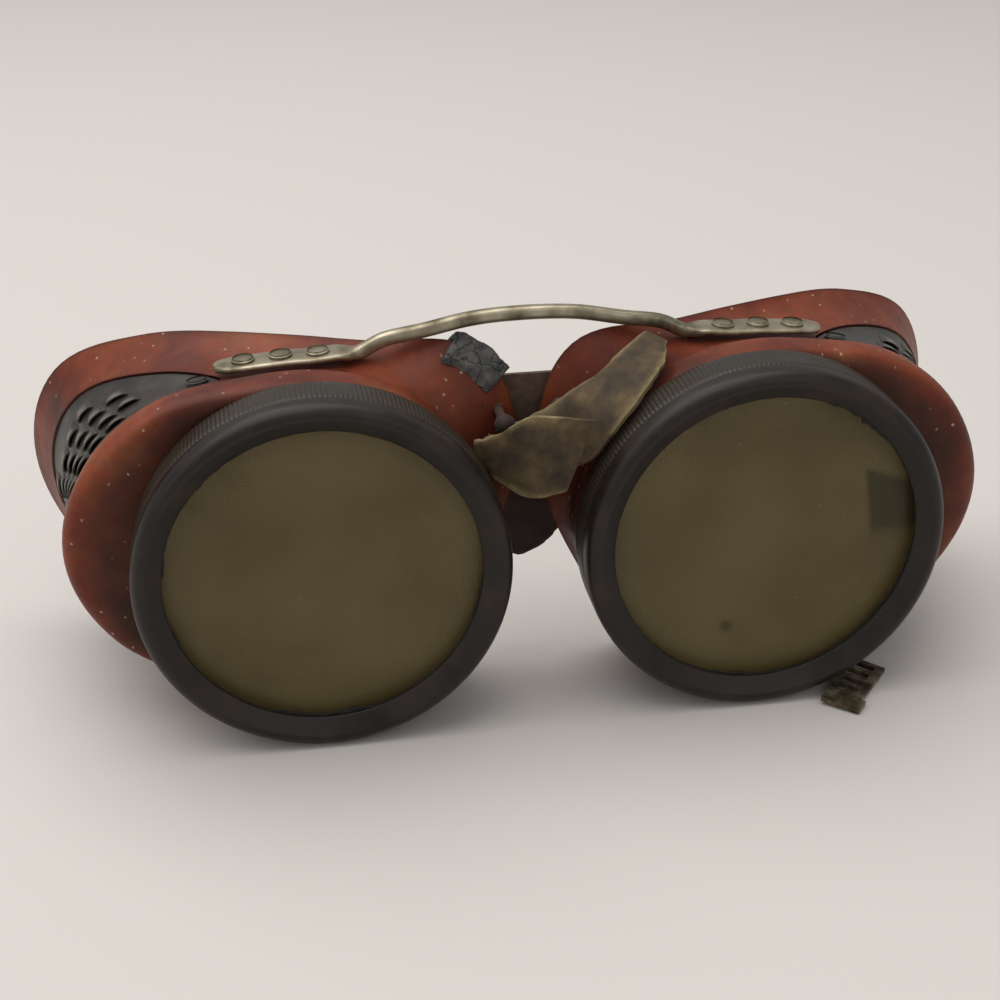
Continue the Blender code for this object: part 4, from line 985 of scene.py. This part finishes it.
inner_x = EYE_HALF - 4.95
start = plate_height(inner_x)
half_wire = []
for share, wide in ((0, 0.05), (0.012, 1.2), (0.035, 1.8), (0.075, 2.35), (0.13, 2.68),
                    (0.22, PLATE_HALF), (0.4, PLATE_HALF), (0.6, PLATE_HALF), (0.8, PLATE_HALF),
                    (0.93, 2.75), (1.0, 2.6)):
    x = PLATE_END + (inner_x - PLATE_END) * share
    half_wire.append((x, plate_height(x), wide, PLATE_THICK))
wire_middle = WIRE_TOP - WIRE_RADIUS
bend = [(inner_x, start, 0), (inner_x - 3.2, start - 0.2, 0), (inner_x - 7.2, start + 1.6, 0),
        (inner_x * 0.54, wire_middle - 1.8, 0), (inner_x * 0.28, wire_middle - 0.4, 0),
        (0, wire_middle, 0), (-inner_x * 0.28, wire_middle - 0.4, 0)]
for k, spot in enumerate(through(bend, 49)[1:41], 1):
    flat = max(0.0, 1 - k / 10)
    flat = flat * flat * (3 - 2 * flat)
    half_wire.append((spot.x, spot.y, WIRE_RADIUS + 1.5 * flat, WIRE_RADIUS - PLATE_THICK * flat))
wire_line = half_wire + [(-x, z, wide, thick) for x, z, wide, thick in reversed(half_wire[:-1])]
rows = []
for k, (x, z, wide, thick) in enumerate(wire_line):
    before, after = wire_line[max(k - 1, 0)], wire_line[min(k + 1, len(wire_line) - 1)]
    slope = math.atan2(after[1] - before[1], after[0] - before[0])
    row = []
    for j in range(24):
        across, rise = rounded(FULL_TURN * j / 24, wide, thick)
        row.append(middle(x - rise * math.sin(slope), BRIDGE_BACK + across, z + rise * math.cos(slope)))
    rows.append(row)
wire = loft("nickel_bridge", rows, capped=True, smooth_angle=60)
damp_spot = middle(21.5, BRIDGE_BACK, 27)     # where the leather hangs from the right bend
paint(wire, "damp", lambda spot: 1.3 - (spot - damp_spot).length / (5 * MM))
hand_over(wire, bridge_finish, "frame", "bridge_nickel", "bridge_wire")
print(wire.name, len(wire.data.polygons), "faces")

# %% [markdown]
# ## The rivets
# All rivets are the same flat-headed pattern. One head is turned: a cylinder whose top
# face is inset and pushed down a little, with its rim bevelled. Each copy is then set on its seat
# and tilted to the surface under it. A head stands for its whole rivet, as nobody sees the shank.

# %% Rivets
HEAD_RADIUS, HEAD_THICK, HEAD_SUNK = 1.65, 0.42, 0.6
RIVET_PHI = math.radians(56)          # the vent's rivets, above and below the temple


def rivet_head():
    """A flat head with a shallow dished face, pointing up, its seat at the origin."""
    deselect()
    bpy.ops.mesh.primitive_cylinder_add(
        vertices=32, radius=HEAD_RADIUS * MM, depth=(HEAD_THICK + HEAD_SUNK) * MM,
        location=(0, 0, (HEAD_THICK - HEAD_SUNK) / 2 * MM))
    head = bpy.context.object
    bpy.ops.object.transform_apply(location=True, rotation=False, scale=False)
    bpy.ops.object.mode_set(mode="EDIT")
    bpy.ops.mesh.select_all(action="DESELECT")
    bpy.ops.mesh.select_mode(type="FACE")
    bm = bmesh.from_edit_mesh(head.data)
    for face in bm.faces:
        face.select = face.normal.z > 0.9
    bmesh.update_edit_mesh(head.data)
    bpy.ops.mesh.bevel(offset=0.16 * MM, segments=3, affect="EDGES")
    bpy.ops.mesh.inset(thickness=0.35 * MM, depth=-0.05 * MM)
    bpy.ops.mesh.inset(thickness=0.4 * MM, depth=-0.03 * MM)
    return finish_mesh(head, "rivet_head", 35)


def place_copy(source, name, spot, direction):
    """A copy of a piece with its own mesh, set at a spot and pointing in a direction."""
    copy = bpy.data.objects.new(name, source.data.copy())
    bpy.context.collection.objects.link(copy)
    copy.data.name = name
    turn = Vector((0, 0, 1)).rotation_difference(direction).to_matrix().to_4x4()
    turn.translation = spot
    copy.data.transform(turn)
    return copy


def cup_normal(side, phi, share):
    """The way out of the cup's side, square to it."""
    around_way = on_cup(side, phi + 0.02, share) - on_cup(side, phi - 0.02, share)
    back_way = on_cup(side, phi, share + 0.02) - on_cup(side, phi, share - 0.02)
    return (back_way.cross(around_way) * side).normalized()


pattern = rivet_head()
for name, side in SIDES.items():
    for number, u in enumerate(RIVETS, 1):
        label = name + "_bridge_rivet_" + str(number)
        x = EYE_HALF + u
        slope = (plate_height(x + 1) - plate_height(x - 1)) / 2
        spot = middle(side * x, BRIDGE_BACK, plate_height(x) + 0.52)
        head = place_copy(pattern, label + "_head", spot, Vector((-side * slope, 0, 1)).normalized())
        paint(head, "damp", lambda spot: 0.45)
        hand_over(head, bridge_finish, "frame", "bridge_nickel", label)
    for label, sign in (("upper", 1), ("lower", -1)):
        phi = sign * RIVET_PHI
        share = sum(vent_edges(phi, 0)) / 2
        normal = cup_normal(side, phi, share)
        spot = on_cup(side, phi, share, SHEET_FACE) + normal * 0.1 * MM
        head = place_copy(pattern, name + "_vent_rivet_" + label + "_head", spot, normal)
        paint(head, "worn", lambda spot: 0.06)
        hand_over(head, vent_finish, "frame", "vent_metal", name + "_vent_rivet_" + label)
bpy.data.objects.remove(pattern)
print("rivets", len(RIVETS) * 2, "on the bridge and 4 on the vents")

# %% [markdown]
# ## The nose leather
# A narrow leaf of hide hangs from the wire, folds over the nose and ends in a flap. Its middle
# line and its half width are given at eleven stations. Between them both follow a smooth curve, and
# small waves are added, since old leather never lies flat. The same stations give the flat size.

# %% Leather sheets
STATIONS = [(19.9, 19.5, 27.0), (17.0, 15.0, 25.9), (13.6, 12.0, 23.8), (8.8, 10.4, 20.2),
            (4.8, 11.2, 15.8), (-0.4, 13.4, 13.2), (-5.2, 14.4, 12.6), (-8.7, 12.4, 13.6),
            (-6.0, 9.4, 13.6), (-1.6, 7.4, 14.0), (5.6, 6.2, 14.4)]
HALVES = [(-1.6, 0.8, 0.6), (-2.6, 2.0, 0.6), (-3.0, 3.2, 0.0), (-3.0, 4.6, 0.5), (-2.2, 4.0, 3.0),
          (-0.8, 0.8, 4.4), (-0.4, 0.3, 2.4), (-0.3, 0.0, 1.7), (0.1, 0.0, 3.8), (-0.1, -0.2, 6.6),
          (2.0, 0.0, 5.5)]
HIDE = 1.3


def strip(name, centres, halves, thick, along=72, across=14, edge=0.35, waves=0.3, seed=2.0):
    """A strip of hide between its two edges, with wavy faces and ragged edges, and its flat size."""
    centres, halves = through(centres, along), through(halves, along)
    outer, inner, length, width = [], [], 0, 0
    for k in range(along):
        ahead_way = centres[min(k + 1, along - 1)] - centres[max(k - 1, 0)]
        normal = ahead_way.cross(halves[k]).normalized()
        half = halves[k].length
        fray = [1 + edge / half * noise.noise(Vector((k * 0.35, seed + s, 1))) for s in (0, 9)]
        upper, lower = [], []
        for j in range(across):
            t = 2 * j / (across - 1) - 1
            reach = t * (fray[0] if t > 0 else fray[1])
            spot = centres[k] + halves[k] * reach
            wave = waves * noise.noise(spot * 0.22 + Vector((seed, 0, 0))) + 0.12 * noise.noise(spot * 0.8)
            thin = thick * (0.5 - 0.22 * abs(t) ** 4)
            upper.append(middle(*(spot + normal * (wave + thin))))
            lower.append(middle(*(spot + normal * (wave - thin))))
        outer.append(upper)
        inner.append(lower)
        if k:
            length += (centres[k] - centres[k - 1]).length
        width = max(width, 2 * half)
    piece = plate(name, outer, inner, smooth_angle=50)
    return piece, (width * MM, length * MM)


def sheet_area(piece):
    """Half of the whole surface: the area the hide was cut to."""
    return sum(face.area for face in piece.data.polygons) / 2


def keep_clear(piece, side, reach, front, rear):
    """Push points that stray into a ring or cup back out to a radius round the lens axis."""
    for vert in piece.data.vertices:
        u, y, z = beside_axis(side, vert.co)
        r = math.hypot(u, z)
        if front < y < rear and r < reach:
            vert.co = at(side, u * reach / r, y, z * reach / r)


def mark_edges(piece, centres, halves):
    """Paint the outer fifth of the width, where handling has rubbed the hide pale."""
    steps = 60
    centres, halves = through(centres, steps), through(halves, steps)

    def near_edge(spot):
        p = Vector((spot.x, spot.y - OPENING_DEPTH, spot.z - AXIS_HEIGHT)) / MM
        k = min(range(steps), key=lambda i: (centres[i] - p).length)
        share = abs((p - centres[k]).dot(halves[k])) / halves[k].length_squared
        return (share - 0.8) * 6
    paint(piece, "edge", near_edge)


leaf, leaf_size = strip("nose_leather_leaf", STATIONS, HALVES, HIDE)
for side in SIDES.values():
    keep_clear(leaf, side, RING_RADIUS + 0.25, -5, RING_BACK + 1.0)
mark_edges(leaf, STATIONS, HALVES)
hand_over(leaf, leather_finish, "frame", "worn_leather", "nose_leather")
print("leaf", [round(s / MM, 1) for s in leaf_size], "mm, area", round(sheet_area(leaf) * 1e6), "mm2")

# %% [markdown]
# ## The nose strap
# A second, darker strip joins the two cups behind the nose. The stud holds it to the left cup and
# a rivet holds it to the right one, and it hangs down between the rims. It lies closest to them a
# third of the way down, bows back above and below that, and its lower end is rounded off.

# %% Nose strap
STRAP_PHI = math.radians(150)         # the rims' corner beside the nose
STRAP_TOP, STRAP_LENGTH, STRAP_STEPS = 21.2, 30.6, 40
STRAP_HALF, STRAP_SWELL, STRAP_THICK = 5.5, 2.2, 1.4
STRAP_GAP = 0.8                       # behind the rims
END_SHARE = 1.07                      # the rounded end runs a little past the frame's strap


def strap_spot(share):
    """Middle of the strap, share of the way down it."""
    bow = 8.8 * (share - 0.35) ** 2
    return Vector((0, rim_depth(STRAP_PHI) + STRAP_GAP + STRAP_THICK + bow,
                   STRAP_TOP - STRAP_LENGTH * share))


strap_halves, strap_centres = [], []
for k in range(STRAP_STEPS + 1):
    share = END_SHARE * k / STRAP_STEPS
    rounding = math.sqrt(max(1 - (max(share - 0.85, 0) / 0.222) ** 2, 0.03))
    half = (STRAP_HALF + STRAP_SWELL * math.sin(math.pi * min(share, 1))) * rounding
    strap_halves.append(Vector((half, 0, 0)))
    strap_centres.append(strap_spot(share))
strap, strap_size = strip("nose_strap_band", strap_centres, strap_halves, STRAP_THICK, along=120,
                          waves=0.25, seed=6.0)
# Painted highlight: the strap's upper part, where the light from above falls, is mixed towards the pale
# colour.
paint(strap, "edge", lambda spot: ((spot.z - AXIS_HEIGHT) / MM - 12) / 6)
hand_over(strap, dark_leather_finish, "frame", "dark_leather", "nose_strap")
print("strap", [round(s / MM, 1) for s in strap_size], "mm, area", round(sheet_area(strap) * 1e6), "mm2")

# %% [markdown]
# ## The rubber remnant, the stud and the band hardware
# What is left of the left cup's face cushion is a cracked piece of rubber over the rim. Its shape
# and those of the stud, the anchors, the links and the slides are already right in the frame. A
# copy of each is merged and its faces are cleaned up. The flat ones also have their edges
# bevelled, so that they catch light as used edges do, and the rubber is cut finer and roughened.
# The stud's round knob is covered in the same dark hide as the strap.

# %% Small hardware
SHARP = 35                            # degrees: a steeper edge than this stays an edge


def refined(node, name, bevel, subdivide=0):
    """A copy of a frame node with merged points, tidy faces and, with a bevel, rounded edges."""
    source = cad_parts[node]
    copy = bpy.data.objects.new(name, source.data.copy())
    bpy.context.collection.objects.link(copy)
    copy.data.materials.clear()
    deselect()
    bpy.context.view_layer.objects.active = copy
    copy.select_set(True)
    bpy.ops.object.mode_set(mode="EDIT")
    bpy.ops.mesh.select_all(action="SELECT")
    bpy.ops.mesh.remove_doubles(threshold=0.01 * MM)
    bpy.ops.mesh.dissolve_limited(angle_limit=math.radians(2))
    if subdivide:
        bpy.ops.mesh.quads_convert_to_tris()
        bpy.ops.mesh.subdivide(number_cuts=subdivide)
    finish_mesh(copy, name, SHARP)
    if bevel:
        step = copy.modifiers.new("worn edges", "BEVEL")
        step.width = bevel * MM
        step.segments = 2
        step.limit_method = "ANGLE"
        step.angle_limit = math.radians(SHARP)
        bpy.ops.object.modifier_apply(modifier=step.name)
        bpy.ops.object.shade_smooth_by_angle(angle=math.radians(SHARP))
    return copy


noise.seed_set(4)                     # without a seed, noise_vector is shifted by the clock
rubber = refined("left_rim_rubber", "cracked_rubber_remnant", 0, subdivide=3)
for vert in rubber.data.vertices:
    place = vert.co / MM
    rough = noise.noise(place * 0.5) * 0.22 + noise.noise(place * 1.7) * 0.1
    drift = noise.noise_vector(place * 0.45) * 0.35 + noise.noise_vector(place * 1.3) * 0.12
    vert.co += (vert.normal * (rough + 0.05) + drift) * MM
hand_over(rubber, rubber_finish, "frame", "rim_rubber", "left_rim_rubber")

stud = refined("strap_stud", "leather_ball_stud", 0)
hand_over(stud, dark_leather_finish, "frame", "stud_metal", "strap_stud")
paint(stud, "edge", lambda spot: 0.1)
rivet = refined("strap_rivet", "strap_rivet_head", 0.15)
hand_over(rivet, vent_finish, "frame", "stud_metal", "strap_rivet")
for name in SIDES:
    for part, body, bevel in (("band_anchor", "frame", 0.15), ("band_link", name + "_link", 0),
                              ("band_slide", name + "_slide", 0.2)):
        piece = refined(name + "_" + part, name + "_" + part + "_worn", bevel)
        hand_over(piece, steel_finish, body, "band_steel", name + "_" + part)
print("hardware dressed")

# %% [markdown]
# ## Stage and light
# A pale warm table keeps the eye on the goggles, and its edge is far out of the camera's view. One
# large soft light above draws the long highlights on the shoulders, a second from the left fills
# the shadows, and a weak one in front keeps the rings from going black.

# %% Stage and light
deselect()
bpy.ops.mesh.primitive_plane_add(size=6, location=(0, 0, -0.0002))
floor = bpy.context.object
floor.name = "studio_floor"
floor_finish = new_finish("warm_white_table", roughness=0.7, base_color=linear("#d2cdc9"))[0]
floor.data.materials.append(floor_finish)


def area_light(name, spot, target, size, power, color):
    """A square soft light at a spot, aimed at its target."""
    bpy.ops.object.light_add(type="AREA", location=spot)
    light = bpy.context.object
    light.name = name
    light.data.size = size
    light.data.energy = power
    light.data.color = linear(color)[:3]
    light.rotation_euler = (Vector(target) - Vector(spot)).to_track_quat("-Z", "Y").to_euler()


area_light("key_above", (-0.2, 0.12, 0.85), (0, 0, 0.02), 1.1, 8.0, "#fffcf8")
area_light("fill_left", (-0.8, -0.3, 0.5), (0, 0, 0.03), 0.7, 0.8, "#f6f9ff")
area_light("fill_front", (0.35, -0.8, 0.6), (0, 0, 0.02), 0.8, 1.0, "#ffffff")
world = bpy.data.worlds.new("studio_world")
bpy.context.scene.world = world
world.use_nodes = True
sky = world.node_tree.nodes["Background"]
sky.inputs["Color"].default_value = linear("#ecebea")
sky.inputs["Strength"].default_value = 0.5
bpy.context.scene.view_settings.view_transform = "Standard"
